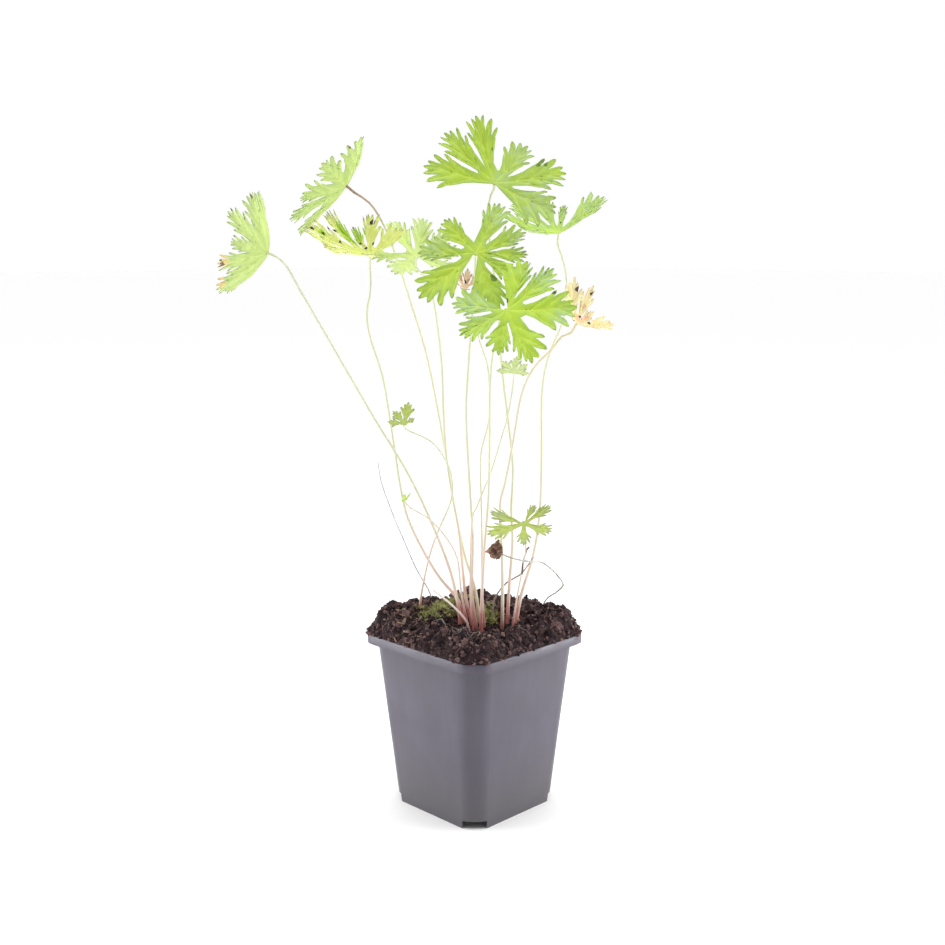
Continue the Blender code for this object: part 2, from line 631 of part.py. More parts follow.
def make_blade(name, leaf, parts, frame):
    """A leaf blade: its cut outline filled, split so that it can bend, lifted and thickened."""
    lobes = leaf["lobes"]
    bm = bmesh.new()
    outline = blade_outline(lobes, leaf["shape"], leaf.get("cut", CUT))
    rim = [bm.verts.new((x, y, 0.0)) for x, y in outline]
    edges = [bm.edges.new((rim[k - 1], rim[k])) for k in range(len(rim))]
    bmesh.ops.triangle_fill(bm, edges=edges, use_beauty=True)
    cell = CELL * max(length for _, length, _ in lobes)
    cuts = int(1 / CELL)
    for axis in (Vector((1.0, 0.0, 0.0)), Vector((0.0, 1.0, 0.0))):
        for k in range(-cuts, cuts + 1):
            bmesh.ops.bisect_plane(
                bm, geom=bm.verts[:] + bm.edges[:] + bm.faces[:], dist=0.05,
                plane_co=axis * (k + CELL_START) * cell, plane_no=axis,
            )
    bmesh.ops.triangulate(bm, faces=bm.faces, quad_method="BEAUTY", ngon_method="BEAUTY")
    for vert in bm.verts:
        vert.co.z = blade_lift(vert.co.x, vert.co.y, lobes)
    bmesh.ops.scale(bm, verts=bm.verts, vec=(MM, MM, MM))
    for face in bm.faces:
        if face.normal.z < 0.0:
            face.normal_flip()
    mesh = bpy.data.meshes.new(name)
    bm.to_mesh(mesh)
    bm.free()
    blade = add_object(name, mesh, parts, frame)
    level, up, out = leaf_axes(leaf["face"])
    place = Matrix((level, up, out)).transposed().to_4x4()
    place.translation = Vector(leaf["at"]) * MM
    blade.matrix_local = place
    body = blade.modifiers.new("Thickness", "SOLIDIFY")
    body.thickness = BLADE_THICK
    body.offset = 0.0
    mesh.materials.append(material(name, leaf["colour"], 0.5))
    smooth(blade, 50.0)


def make_leaf(name, leaf, parts, frame):
    """A leaf: its stalk, from a crown or the soil, and its blade."""
    across, back = leaf["foot"]
    out = leaf_axes(leaf["face"])[2]
    meet = Vector(leaf["at"]) * MM
    tip = meet - out * (BLADE_THICK / 2 + GAP)
    arrival = meet - out * ARRIVAL * MM
    in_soil = not any(near_crown(across, back, crown) for crown in CROWNS.values())
    if in_soil:
        foot_up = soil_level(across, back) - STEM_FOOT
        rise = STEM_FOOT + 0.002
    else:
        foot_up = CROWN_TOP - STALK_FOOT
        rise = STALK_FOOT + 0.002
    foot = Vector((across * MM, back * MM, foot_up))
    points = [foot, foot + Vector((0.0, 0.0, rise))]
    points += [Vector(place) * MM for place in leaf["route"]]
    points += [arrival, tip]
    slim = 0.7 if max(length for _, length, _ in leaf["lobes"]) < SMALL_LEAF else 1.0
    radii = (FOOT_RADIUS * slim, TIP_RADIUS * slim)
    make_stem("stalk_" + name, points, radii, STALK, parts, frame)
    make_blade("blade_" + name, leaf, parts, frame)
    return (across, back, radii[0], foot_up, in_soil)


def near_crown(across, back, crown):
    """Whether a foot stands in a crown."""
    (x, y), (half_x, half_y) = crown
    return ((across - x) / half_x) ** 2 + ((back - y) / half_y) ** 2 < 1.0


def soil_level(across, back):
    """Height of the soil at a place in the plant's frame, in metres."""
    place = Matrix.Rotation(CORNER_ON, 2) @ Vector((across * MM, back * MM))
    return soil_height(place.x, place.y)


def make_loose_stem(name, stem, parts, frame):
    """A dead stem that stands in the soil by itself."""
    across, back = stem["foot"]
    level = soil_level(across, back)
    foot = Vector((across * MM, back * MM, level - STEM_FOOT))
    points = [foot, foot + Vector((0.0, 0.0, STEM_FOOT + 0.0015))]
    points += [Vector(place) * MM for place in stem["route"]]
    radii = [radius * MM for radius in stem["radii"]]
    make_stem(name, points, radii, stem["colour"], parts, frame)
    return (across, back, radii[0] + HOLE_SLACK, foot.z)


def make_stub(parts, frame):
    """The bare pink side shoot of the left crown."""
    across, back = STUB["foot"]
    foot = Vector((across * MM, back * MM, CROWN_TOP - STALK_FOOT))
    points = [foot, foot + Vector((0.0, 0.0, STALK_FOOT + 0.001))]
    points += [Vector(place) * MM for place in STUB["route"]]
    radii = [radius * MM for radius in STUB["radii"]]
    make_stem("stub_pink", points, radii, STUB["colour"], parts, frame)
    return (across, back, radii[0])


def make_clump(parts, frame):
    """The dried, crumpled leaf at the end of the bent stem."""
    bm = bmesh.new()
    bmesh.ops.create_icosphere(bm, subdivisions=3, radius=1.0)
    for vert in bm.verts:
        way = vert.co.normalized()
        folds = CLUMP_FOLDS[1] * noise.noise(way * CLUMP_FOLDS[0] + Vector((3.1, 0.4, 1.7)))
        points = CLUMP_POINTS[1] * noise.noise(way * CLUMP_POINTS[0])
        vert.co = way * (CLUMP_CORE + folds + points)
    half = Vector(CLUMP_HALF) * MM
    bmesh.ops.scale(bm, verts=bm.verts, vec=half)
    clump = add_object("clump_dry", finish(bm, "clump_dry"), parts, frame)
    clump.location = Vector(CLUMP_AT) * MM
    clump.data.materials.append(material("Dried leaf", CLUMP_COLOUR, 0.9))
    smooth(clump, 60.0)


def main():
    """Build the whole plant and its pot."""
    empty_file()
    parts = collection("Potted cranesbill")
    cutters = collection("Cutters")
    stand = add_object("stand", None, parts)
    stand.location = (*POT_AXIS, 0.0)
    frame = add_object("corner_on", None, parts, stand)
    frame.rotation_euler = (0.0, 0.0, CORNER_ON)
    make_pot(parts, cutters, stand)
    feet = [make_leaf(name, leaf, parts, frame) for name, leaf in LEAVES.items()]
    crown_feet = [foot[:3] for foot in feet if not foot[4]] + [make_stub(parts, frame)]
    pegs = [(across, back, radius + HOLE_SLACK, low)
            for across, back, radius, low, in_soil in feet if in_soil]
    pegs += [make_loose_stem(name, stem, parts, frame) for name, stem in STEMS.items()]
    for name, crown in CROWNS.items():
        own = [foot for foot in crown_feet if near_crown(foot[0], foot[1], crown)]
        make_crown(name, parts, cutters, frame, own)
    make_soil(parts, cutters, stand, pegs)
    make_clump(parts, frame)


main()
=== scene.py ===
# %% [markdown]
# This lesson dresses a imported model of a young cranesbill. The imported model gives plain solids for the
# pot, the soil and every leaf. Each step below makes one kind of piece finer, or adds what the solids
# leave out, such as crumbs, moss and hairs. All lengths are metres in the end, but leaves are easier to
# think about in millimetres, so a constant turns one into the other.

# %% Load the imported model
import math
import random

import bmesh
import bpy
from mathutils import Matrix, Vector, kdtree, noise


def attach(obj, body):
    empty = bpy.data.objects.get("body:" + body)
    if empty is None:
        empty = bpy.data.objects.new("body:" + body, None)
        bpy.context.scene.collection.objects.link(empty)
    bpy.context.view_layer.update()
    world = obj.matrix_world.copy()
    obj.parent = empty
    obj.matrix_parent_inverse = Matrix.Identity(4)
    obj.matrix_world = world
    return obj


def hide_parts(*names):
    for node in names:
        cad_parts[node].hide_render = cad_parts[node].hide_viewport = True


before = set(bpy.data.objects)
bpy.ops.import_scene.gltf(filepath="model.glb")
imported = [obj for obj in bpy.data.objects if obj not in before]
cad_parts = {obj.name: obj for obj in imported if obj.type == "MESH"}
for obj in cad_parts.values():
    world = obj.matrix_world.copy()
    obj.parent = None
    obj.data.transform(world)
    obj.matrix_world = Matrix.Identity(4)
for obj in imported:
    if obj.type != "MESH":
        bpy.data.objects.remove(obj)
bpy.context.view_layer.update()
MM = 0.001

# %% [markdown]
# The pot's sides face along X and Y, and its axis stands a little beside the origin, because the leaves
# reach further to one side. The plant is easier to lay out seen corner-on, as from the camera: across,
# back and up. One matrix takes a place from the pot's own axis to the world, and one takes it from the
# corner-on frame to the world.

# %% The pot's frame and the plant's frame
POT_AXIS = Vector((0.0160, 0.0103, 0.0))
CORNER_ON = math.radians(45.0)
TO_POT = Matrix.Translation(POT_AXIS)
TO_PLANT = TO_POT @ Matrix.Rotation(CORNER_ON, 4, "Z")

# %% [markdown]
# A colour picked on a screen is sRGB, but shaders work on linear light, so hex values go through one
# function. Every material below is a small tree of nodes, and one function adds a node, sets what it
# is given, links its inputs and gives back the output that the next node reads. Patterns are sized in
# millimetres, as on the real plant, so another function turns a size into a texture's scale. Most
# colours are tints laid over each other in patches, which one more function does. Each material ends
# in the same way: its colour is linked, one grain makes some places duller than others, and that grain
# or another one gives the bump, so a last function does that for all of them.

# %% Helpers for colours and nodes
SMOOTH = {"interpolation_type": "SMOOTHSTEP"}
COLOURS = {"data_type": "RGBA", "out": 2}


def linear(code):
    """A hex sRGB colour as linear RGBA."""
    parts = [int(code[k:k + 2], 16) / 255.0 for k in (1, 3, 5)]
    return (*(c / 12.92 if c <= 0.04045 else ((c + 0.055) / 1.055) ** 2.4 for c in parts), 1.0)


def per(size_mm):
    """The scale that makes a pattern's lumps about this size on coordinates in metres."""
    return 1.0 / (size_mm * MM)


def add(tree, kind, inputs=(), out=0, **settings):
    """Add one node and give back one of its outputs.

    An input is found by its name or place. It is set to a value, or linked to another node's output.
    """
    node = tree.nodes.new("ShaderNode" + kind)
    for name, value in settings.items():
        setattr(node, name, value)
    for place, value in dict(inputs).items():
        if isinstance(value, bpy.types.NodeSocket):
            tree.links.new(value, node.inputs[place])
        else:
            node.inputs[place].default_value = value
    return node.outputs[out]


def new_material(name, **shader_values):
    """A Principled material, its tree and its shader, with the values that are the same all over."""
    made = bpy.data.materials.new(name)
    made.use_nodes = True
    shader = made.node_tree.nodes["Principled BSDF"]
    for socket, value in shader_values.items():
        shader.inputs[socket.replace("_", " ")].default_value = value
    return made, made.node_tree, shader


def cover(tree, place, colour, tint, size_mm, limits, detail=2.0, amounts=(0.0, 1.0)):
    """Lay a tint over a colour in patches: its amount changes as a noise rises between two limits."""
    patches = add(tree, "TexNoise", {"Vector": place, "Scale": per(size_mm), "Detail": detail})
    patches = {0: patches, 1: limits[0], 2: limits[1], 3: amounts[0], 4: amounts[1]}
    patches = add(tree, "MapRange", patches, **SMOOTH)
    return add(tree, "Mix", {0: patches, 6: colour, 7: linear(tint)}, **COLOURS)


def finish_surface(tree, shader, colour, grain, rough, strength, depth, raised=None):
    """Link a colour, a roughness that follows a grain between two values, and a bump in metres."""
    duller = {0: grain, 1: 0.3, 2: 0.7, 3: rough[0], 4: rough[1]}
    duller = add(tree, "MapRange", duller, **SMOOTH)
    bump = add(tree, "Bump", {"Strength": strength, "Distance": depth, "Height": raised or grain})
    for socket, value in (("Base Color", colour), ("Roughness", duller), ("Normal", bump)):
        tree.links.new(value, shader.inputs[socket])


print("a mid grey", [round(c, 3) for c in linear("#808080")], "and 4 mm lumps", per(4.0))

# %% [markdown]
# Every piece ends the same way: its bmesh becomes a mesh in world places, its object stays at the
# origin, it gets a material, it rides on the model's one body, and the solids it stands for are hidden.

# %% Finishing a piece
def in_scene(name, data):
    """A new object in the scene for a mesh, a curve, a light or the camera."""
    made = bpy.data.objects.new(name, data)
    bpy.context.scene.collection.objects.link(made)
    return made


def finish_piece(name, data, materials, replaced=()):
    """Put a mesh or curve in the scene as a piece of the object."""
    piece = in_scene(name, data)
    for material in materials:
        data.materials.append(material)
    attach(piece, "root")
    if replaced:
        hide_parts(*replaced)
    return piece


def plain_mesh(bm, name):
    """A bmesh as a mesh, just as it is."""
    mesh = bpy.data.meshes.new(name)
    bm.to_mesh(mesh)
    bm.free()
    return mesh


def mesh_from(bm, name, place=Matrix.Identity(4), outward=True, sharp=None):
    """A bmesh as a mesh, moved to its place, smooth, with edges past an angle kept sharp."""
    bmesh.ops.transform(bm, matrix=place, verts=bm.verts)
    if outward:
        bmesh.ops.recalc_face_normals(bm, faces=bm.faces)
    mesh = plain_mesh(bm, name)
    mesh.shade_smooth()
    if sharp:
        mesh.set_sharp_from_angle(angle=math.radians(sharp))
    return mesh


def grown_from(extruded, kind):
    """The new vertices or edges in what an extrusion gave back."""
    return [item for item in extruded["geom"] if isinstance(item, kind)]


# %% [markdown]
# The real pot is one thin shell of polypropylene, moulded in one shot: 90 mm square at the rim, with
# cut corners, a lip that turns down outside, and a floor that is raised a little so that water drains
# out of an opening at each bottom corner. The plan starts as a face of eight vertices whose corners
# are bevelled round. Extruding it upwards level by level, with each ring moved to its own plan,
# gives a sheet, and Solidify gives the sheet its wall. Booleans then add the floor and cut the
# openings, and the result is baked into one mesh so that no cutter is left behind.

# %% The plan of the pot
POT_HEIGHT, WALL, LIP_HEIGHT = 0.095, 0.0012, 0.005
RIM_PLAN = (0.045, 0.0575)          # half width, and distance from the axis to the cut corner
WALL_TOP_PLAN = (0.0410, 0.0518)
FOOT_PLAN = (0.0327, 0.0410)
FLOOR_LEVEL, FLOOR_THICK = 0.0045, 0.0014
PLAN_ROUNDING, PLAN_STEPS = 0.0024, 4
TINY = 1e-6


def plan_radius(turn, half, corner):
    """Distance from the axis to the plan in a direction."""
    reach = []
    for k in range(8):
        lean = math.cos(turn - k * math.pi / 4)
        if lean > TINY:
            reach.append((corner if k % 2 else half) / lean)
    return min(reach)


def wall_plan(level):
    """The outer wall's plan at a height: it widens from the foot to the lip."""
    part = level / (POT_HEIGHT - LIP_HEIGHT)
    return tuple(low + part * (high - low) for low, high in zip(FOOT_PLAN, WALL_TOP_PLAN))


def plan_face(bm, half, corner, level):
    """A flat face of the pot's plan with rounded corners."""
    cut = corner * math.sqrt(2.0) - half
    corners = [(half, -cut), (half, cut), (cut, half), (-cut, half),
               (-half, cut), (-half, -cut), (-cut, -half), (cut, -half)]
    face = bm.faces.new([bm.verts.new((x, y, level)) for x, y in corners])
    bmesh.ops.bevel(bm, geom=face.verts[:], offset=PLAN_ROUNDING, offset_type="OFFSET", segments=PLAN_STEPS,
                    profile=0.5, affect="VERTICES", material=-1)
    return bm.faces[:]


def move_ring(verts, old, new, level):
    """Move a ring from one plan to another, keeping its rounded corners."""
    for vert in verts:
        turn = math.atan2(vert.co.y, vert.co.x)
        wider = plan_radius(turn, *new) / plan_radius(turn, *old)
        vert.co = (vert.co.x * wider, vert.co.y * wider, level)


print("plan at mid height", [round(c, 4) for c in wall_plan(0.045)])

# %% The pot's sheet
FOOT_SPARE = 0.002                  # wall below the ground, trimmed flat later
LIP_ROUND = 0.0009


def inset_plan(plan, inset):
    """A plan made smaller all round."""
    return tuple(side - inset for side in plan)


def pot_sheet():
    """The pot's surface before it has a thickness, from the foot up, over the lip and down its skirt."""
    top = inset_plan(WALL_TOP_PLAN, WALL)
    bend = LIP_ROUND * (1.0 - math.sqrt(0.5))
    levels = [
        (top, POT_HEIGHT - LIP_HEIGHT), (top, POT_HEIGHT - LIP_ROUND),
        (inset_plan(top, -bend), POT_HEIGHT - bend), (inset_plan(top, -LIP_ROUND), POT_HEIGHT),
        (inset_plan(RIM_PLAN, LIP_ROUND), POT_HEIGHT), (inset_plan(RIM_PLAN, bend), POT_HEIGHT - bend),
        (RIM_PLAN, POT_HEIGHT - LIP_ROUND), (RIM_PLAN, POT_HEIGHT - LIP_HEIGHT),
    ]
    bm = bmesh.new()
    plan = inset_plan(wall_plan(-FOOT_SPARE), WALL)
    faces = plan_face(bm, *plan, -FOOT_SPARE)
    for wider, level in levels:
        verts = grown_from(bmesh.ops.extrude_face_region(bm, geom=faces), bmesh.types.BMVert)
        faces = [face for face in bm.faces if all(vert in verts for vert in face.verts)]
        move_ring(verts, plan, wider, level)
        plan = wider
    flat = [face for face in bm.faces if len(face.verts) > 4]
    bmesh.ops.delete(bm, geom=flat, context="FACES")
    bmesh.ops.recalc_face_normals(bm, faces=bm.faces)
    skirt = max(bm.faces, key=lambda face: face.calc_center_median().xy.length)
    if skirt.normal.dot(skirt.calc_center_median()) < 0.0:
        bmesh.ops.reverse_faces(bm, faces=bm.faces)
    return plain_mesh(bm, "pot_sheet")


sheet_mesh = pot_sheet()
print("sheet faces", len(sheet_mesh.polygons))

# %% The pot's wall, floor and openings
NOTCH_WIDTH, NOTCH_REACH, NOTCH_SPARE = 0.0126, 0.016, 0.0003
DRAIN_RADIUS, DRAIN_OUT, DRAIN_SIDES = 0.003, 0.017, 24
POT_SHARP = 32.0                    # degrees past which an edge of the pot stays sharp


def cutter(name, bm):
    """An object made from a bmesh, with its faces outwards, that is only used to make the pot."""
    bmesh.ops.recalc_face_normals(bm, faces=bm.faces)
    return in_scene(name, plain_mesh(bm, name))


def slab(name, plan, bottom, top):
    """A slab of the pot's plan."""
    bm = bmesh.new()
    lid = bmesh.ops.extrude_face_region(bm, geom=plan_face(bm, *plan, bottom))
    bmesh.ops.translate(bm, verts=grown_from(lid, bmesh.types.BMVert), vec=(0.0, 0.0, top - bottom))
    return cutter(name, bm)


def notch_blocks():
    """Four blocks that open the bottom corners."""
    bm = bmesh.new()
    for k in range(4):
        turn = Matrix.Rotation(CORNER_ON + k * math.pi / 2, 4, "Z")
        size = Matrix.Diagonal((NOTCH_REACH, NOTCH_WIDTH, 2 * FLOOR_LEVEL - NOTCH_SPARE, 1.0))
        out = Matrix.Translation((FOOT_PLAN[1], 0.0, 0.0))
        bmesh.ops.create_cube(bm, size=1.0, matrix=turn @ out @ size)
    return cutter("notches", bm)


def drain_rods():
    """Five rods that drill the floor."""
    bm = bmesh.new()
    for x, y in ((0, 0), (1, 0), (0, 1), (-1, 0), (0, -1)):
        place = Matrix.Translation((x * DRAIN_OUT, y * DRAIN_OUT, FLOOR_LEVEL + FLOOR_THICK / 2))
        bmesh.ops.create_cone(bm, cap_ends=True, segments=DRAIN_SIDES, radius1=DRAIN_RADIUS,
                              radius2=DRAIN_RADIUS, depth=4 * FLOOR_THICK, matrix=place)
    return cutter("drains", bm)


def baked(obj, *helpers):
    """The object's mesh with its modifiers applied; the object and its helpers are then removed."""
    mesh = bpy.data.meshes.new_from_object(obj.evaluated_get(bpy.context.evaluated_depsgraph_get()))
    for used in (obj, *helpers):
        bpy.data.objects.remove(used, do_unlink=True)
    return mesh


def pot_mesh():
    """The whole pot as one mesh."""
    pot = in_scene("pot_maker", sheet_mesh)
    shell = pot.modifiers.new("Wall", "SOLIDIFY")
    shell.thickness, shell.offset, shell.use_even_offset = WALL, -1.0, True
    floor_plan = inset_plan(wall_plan(FLOOR_LEVEL), WALL / 2)
    helpers = [
        (slab("floor", floor_plan, FLOOR_LEVEL, FLOOR_LEVEL + FLOOR_THICK), "UNION"),
        (slab("ground", RIM_PLAN, -2 * FOOT_SPARE, 0.0), "DIFFERENCE"),
        (notch_blocks(), "DIFFERENCE"),
        (drain_rods(), "DIFFERENCE"),
    ]
    for helper, operation in helpers:
        cut = pot.modifiers.new(helper.name, "BOOLEAN")
        cut.operation, cut.solver, cut.object = operation, "EXACT", helper
    mesh = baked(pot, *(helper for helper, _ in helpers))
    mesh.transform(TO_POT)
    mesh.shade_smooth()
    mesh.set_sharp_from_angle(angle=math.radians(POT_SHARP))
    return mesh


moulded_pot = pot_mesh()
print("pot faces", len(moulded_pot.polygons))

# %% [markdown]
# The pot is grey recycled polypropylene. Moulding in a spark-eroded tool leaves a fine satin grain, so
# highlights are wide and soft. The resin flows up the wall and leaves faint upright streaks, and
# regrind makes it a little cloudy. Peat has dusted the lip and left a few specks on the walls.

# %% The pot's material
def pot_material():
    """Polypropylene. The eye gets a satin violet-grey, barely streaked, with dust near the lip."""
    made, tree, shader = new_material("Polypropylene, injection moulded", IOR=1.49)
    place = add(tree, "TexCoord", out="Object")
    level = add(tree, "SeparateXYZ", {0: place}, out="Z")
    # Flow streaks about 5 mm wide and 70 mm tall: noise drawn out along Z
    drawn = add(tree, "Mapping", {"Vector": place, "Scale": (1.0, 1.0, 0.07)})
    colour = cover(tree, drawn, linear("#504C59"), "#54505E", 5.0, (0.35, 0.65), 3.0)
    # Clouds in the regrind, 20 to 30 mm across
    cloudy = add(tree, "TexNoise", {"Vector": place, "Scale": per(24.0), "Detail": 2.0})
    clouds = add(tree, "MapRange", {0: cloudy, 1: 0.35, 2: 0.70, 4: 0.4}, **SMOOTH)
    colour = add(tree, "Mix", {0: clouds, 6: colour, 7: linear("#4B4853")}, **COLOURS)
    # Towards the foot the colour turns a more neutral grey
    towards_foot = add(tree, "MapRange", {0: level, 1: 0.0, 2: 0.045, 3: 0.85, 4: 0.0}, **SMOOTH)
    colour = add(tree, "Mix", {0: towards_foot, 6: colour, 7: linear("#565357")}, **COLOURS)
    # Peat dust: patches near the lip, and specks about 0.5 mm wide lower down
    near_lip = add(tree, "MapRange", {0: level, 1: POT_HEIGHT - 0.012, 2: POT_HEIGHT - 0.002}, **SMOOTH)
    patches = add(tree, "TexNoise", {"Vector": place, "Scale": per(2.4), "Detail": 4.0})
    patches = add(tree, "MapRange", {0: patches, 1: 0.56, 2: 0.70}, **SMOOTH)
    dust = add(tree, "Math", {0: near_lip, 1: patches}, operation="MULTIPLY")
    specks = add(tree, "TexNoise", {"Vector": place, "Scale": per(1.3), "Detail": 1.0})
    specks = add(tree, "MapRange", {0: specks, 1: 0.78, 2: 0.80}, **SMOOTH)
    dirt = add(tree, "Math", {0: dust, 1: specks}, operation="MAXIMUM")
    dirt = add(tree, "Math", {0: dirt, 1: 0.7}, operation="MULTIPLY")
    colour = add(tree, "Mix", {0: dirt, 6: colour, 7: linear("#4E3E3A")}, **COLOURS)
    # Spark-eroded grain, drawn at 0.35 mm: coarser than the real 0.1 mm, so that it shows
    grain = add(tree, "TexNoise", {"Vector": place, "Scale": per(0.35), "Detail": 2.0})
    finish_surface(tree, shader, colour, cloudy, (0.36, 0.48), 0.12, 0.0001, grain)
    return made


pot = finish_piece("nursery_pot", moulded_pot, [pot_material()], ["pot"])
print("pot", len(pot.data.vertices), "vertices")

# %% [markdown]
# Nursery peat is a mass of dark crumbs held together by fibres. It fills the pot and is heaped over
# the lip, with a hollow in front where the stalks come up. One fine grid carries the heap's form and
# four sizes of lump, and its rim is pulled down inside the pot as a plug. Loose crumbs come next.

# %% The height of the soil
HEAP_EDGE, HEAP_RISE, HEAP_SHOULDER = 0.0012, 0.0105, 0.0095
HEAP_SLOPE = (45.0, 0.003)          # towards the front: over this length in mm it falls this much
HEAP_BEHIND = (8.0, 36.0, 0.0045)   # behind this place, over this length, it falls this much
HOLLOW_DEPTH, HOLLOW_AT, HOLLOW_SIZE = 0.0060, (7.0, -16.0), (24.0, 15.0)
LUMPS = ((0.010, 0.0030, 0.0), (0.0050, 0.0030, 0.3))   # size, height and where in the noise
FINE_LUMPS = ((0.0027, 0.0020), (0.0014, 0.0010))       # size and height
EDGE_SHARE, EDGE_WIDTH = 0.25, 0.004    # at the soil's edge lumps keep this share of their height
CALM = 0.75                             # how much of their height lumps lose in the hollow
LEAST_HEIGHT = 0.6                      # of the height at the edge


def ease(value):
    """Smooth step from 0 to 1."""
    value = min(max(value, 0.0), 1.0)
    return value * value * (3.0 - 2.0 * value)


def soil_form(x, y):
    """Height of the heap, and how far inside its edge a place is, in the pot's frame."""
    inside = plan_radius(math.atan2(y, x), *RIM_PLAN) - math.hypot(x, y)
    across = (x * math.cos(CORNER_ON) + y * math.sin(CORNER_ON)) / MM
    back = (y * math.cos(CORNER_ON) - x * math.sin(CORNER_ON)) / MM
    dip = ((across - HOLLOW_AT[0]) / HOLLOW_SIZE[0]) ** 2 + ((back - HOLLOW_AT[1]) / HOLLOW_SIZE[1]) ** 2
    rise = ease(inside / HEAP_SHOULDER)
    front = HEAP_SLOPE[1] * ease(-back / HEAP_SLOPE[0])
    behind = HEAP_BEHIND[2] * ease((back - HEAP_BEHIND[0]) / HEAP_BEHIND[1])
    height = HEAP_EDGE + rise * (HEAP_RISE - front - behind - HOLLOW_DEPTH * math.exp(-dip))
    lumps = sum(noise.noise(Vector((x, y, away)) / size) * high for size, high, away in LUMPS)
    calm = 1.0 - CALM * math.exp(-dip * 2.0)
    height += (EDGE_SHARE + (1.0 - EDGE_SHARE) * rise) * calm * lumps
    return POT_HEIGHT + max(height, HEAP_EDGE * LEAST_HEIGHT), inside


def soil_top(x, y):
    """Height of the soil with its finer lumps."""
    height, inside = soil_form(x, y)
    for size, rise in FINE_LUMPS:
        lump = noise.noise(Vector((x, y, 0.7)) / size)
        height += rise * (EDGE_SHARE + (1.0 - EDGE_SHARE) * ease(inside / EDGE_WIDTH)) * lump
    return height


print("heap at the middle", round(soil_top(0.0, 0.0), 4))

# %% The soil's plug
SOIL_INSET, SOIL_SLACK, SOIL_NECK = 0.0004, 0.0007, 0.075
SOIL_CLEAR = 0.0003                 # the soil's height above the pot's rim and above its floor
SOIL_CELLS = 130


def soil_mesh():
    """The heaped top as a fine grid, with its rim pulled down inside the pot."""
    bm = bmesh.new()
    half, corner = inset_plan(RIM_PLAN, SOIL_INSET)
    bmesh.ops.create_grid(bm, x_segments=SOIL_CELLS, y_segments=SOIL_CELLS, size=half)
    for k in range(4):
        out = Matrix.Rotation(CORNER_ON + k * math.pi / 2, 3, "Z") @ Vector((1.0, 0.0, 0.0))
        bmesh.ops.bisect_plane(bm, geom=bm.verts[:] + bm.edges[:] + bm.faces[:], dist=TINY,
                               plane_co=out * corner, plane_no=out, clear_outer=True)
    for vert in bm.verts:
        vert.co.z = soil_top(vert.co.x, vert.co.y)
    inner = WALL + SOIL_SLACK
    ring = [edge for edge in bm.edges if edge.is_boundary]
    levels = [((half, corner), POT_HEIGHT + SOIL_CLEAR),
              (inset_plan(WALL_TOP_PLAN, inner), POT_HEIGHT + SOIL_CLEAR),
              (inset_plan(wall_plan(SOIL_NECK), inner), SOIL_NECK),
              (inset_plan(wall_plan(FLOOR_LEVEL), inner), FLOOR_LEVEL + FLOOR_THICK + SOIL_CLEAR)]
    for plan, level in levels:
        ring = grown_from(bmesh.ops.extrude_edge_only(bm, edges=ring), bmesh.types.BMEdge)
        for vert in {vert for edge in ring for vert in edge.verts}:
            turn = math.atan2(vert.co.y, vert.co.x)
            reach = plan_radius(turn, *plan)
            vert.co = (reach * math.cos(turn), reach * math.sin(turn), level)
    bmesh.ops.contextual_create(bm, geom=ring)
    return mesh_from(bm, "soil", TO_POT)


plug_mesh = soil_mesh()
print("soil faces", len(plug_mesh.polygons))

# %% [markdown]
# Damp sphagnum peat is almost black in the gaps and warm brown where it dries on top of a lump. It
# doesn't shine. Hollows are kept dark by the colour as well as by the light, because real peat lets
# light fall between crumbs that are finer than this mesh.

# %% The soil's material
PEAT_ROUGH = (0.88, 0.97)


def peat_material():
    """Peat, crumbled and damp. The eye gets brown lumps with black gaps and a few pale dry bits."""
    made, tree, shader = new_material("Sphagnum peat, damp", Specular_IOR_Level=0.25)
    place = add(tree, "TexCoord", out="Object")
    # Brown lumps, pale dry bits, and black gaps where the noise is low
    colour = cover(tree, place, linear("#1F1517"), "#3B2A2D", 3.2, (0.36, 0.66), 4.0)
    colour = cover(tree, place, colour, "#5E4A44", 0.9, (0.60, 0.72), 3.0)
    colour = cover(tree, place, colour, "#170F11", 0.6, (0.30, 0.48), 2.0, (0.85, 0.0))
    # Dry raised crumbs are duller than the damp gaps between them
    crumbly = add(tree, "TexNoise", {"Vector": place, "Scale": per(0.7), "Detail": 4.0})
    finish_surface(tree, shader, colour, crumbly, PEAT_ROUGH, 0.9, 0.0006)
    return made


soil = finish_piece("peat_plug", plug_mesh, [peat_material()], ["soil"])
print("soil", len(soil.data.vertices), "vertices")

# %% [markdown]
# Crumbs are icospheres of twenty faces, each pushed out of round by noise and sunk halfway into the
# heap. They are small and many, so few faces each is enough. Fewer than a hundred clods are divided
# more finely, and a second, finer noise makes them knobbly, because a clod is itself a lump of crumbs.
# Some crumbs lie on the lip and hang over it, and thin flakes of straw lie at the left corner. Each
# crumb keeps a tone at its vertices, so that dark, brown and tan ones lie beside each other. All
# draws come from one seeded generator, so the soil is the same every time.

# %% Places for crumbs
LIP_REACH = (-0.0002, 0.0030)       # how far inside the lip's edge its crumbs lie
LIP_RISE = 0.0010                   # how far above the lip they may lie
FLAKES_AT = ((-35.0, -20.0), (-39.0, -8.0), (-31.0, -27.0))
FLAKE_STRAY, FLAKE_RISE = (3.0, 3.5), 0.0004


def spread(draw, limits, power=1.0):
    """A random value between two limits, with more small ones where the power is above one."""
    return limits[0] + (limits[1] - limits[0]) * draw.random() ** power


def from_corner_on(across, back):
    """A place given in millimetres in the corner-on frame, in the pot's own frame."""
    return Matrix.Rotation(CORNER_ON, 3, "Z") @ (Vector((across, back, 0.0)) * MM)


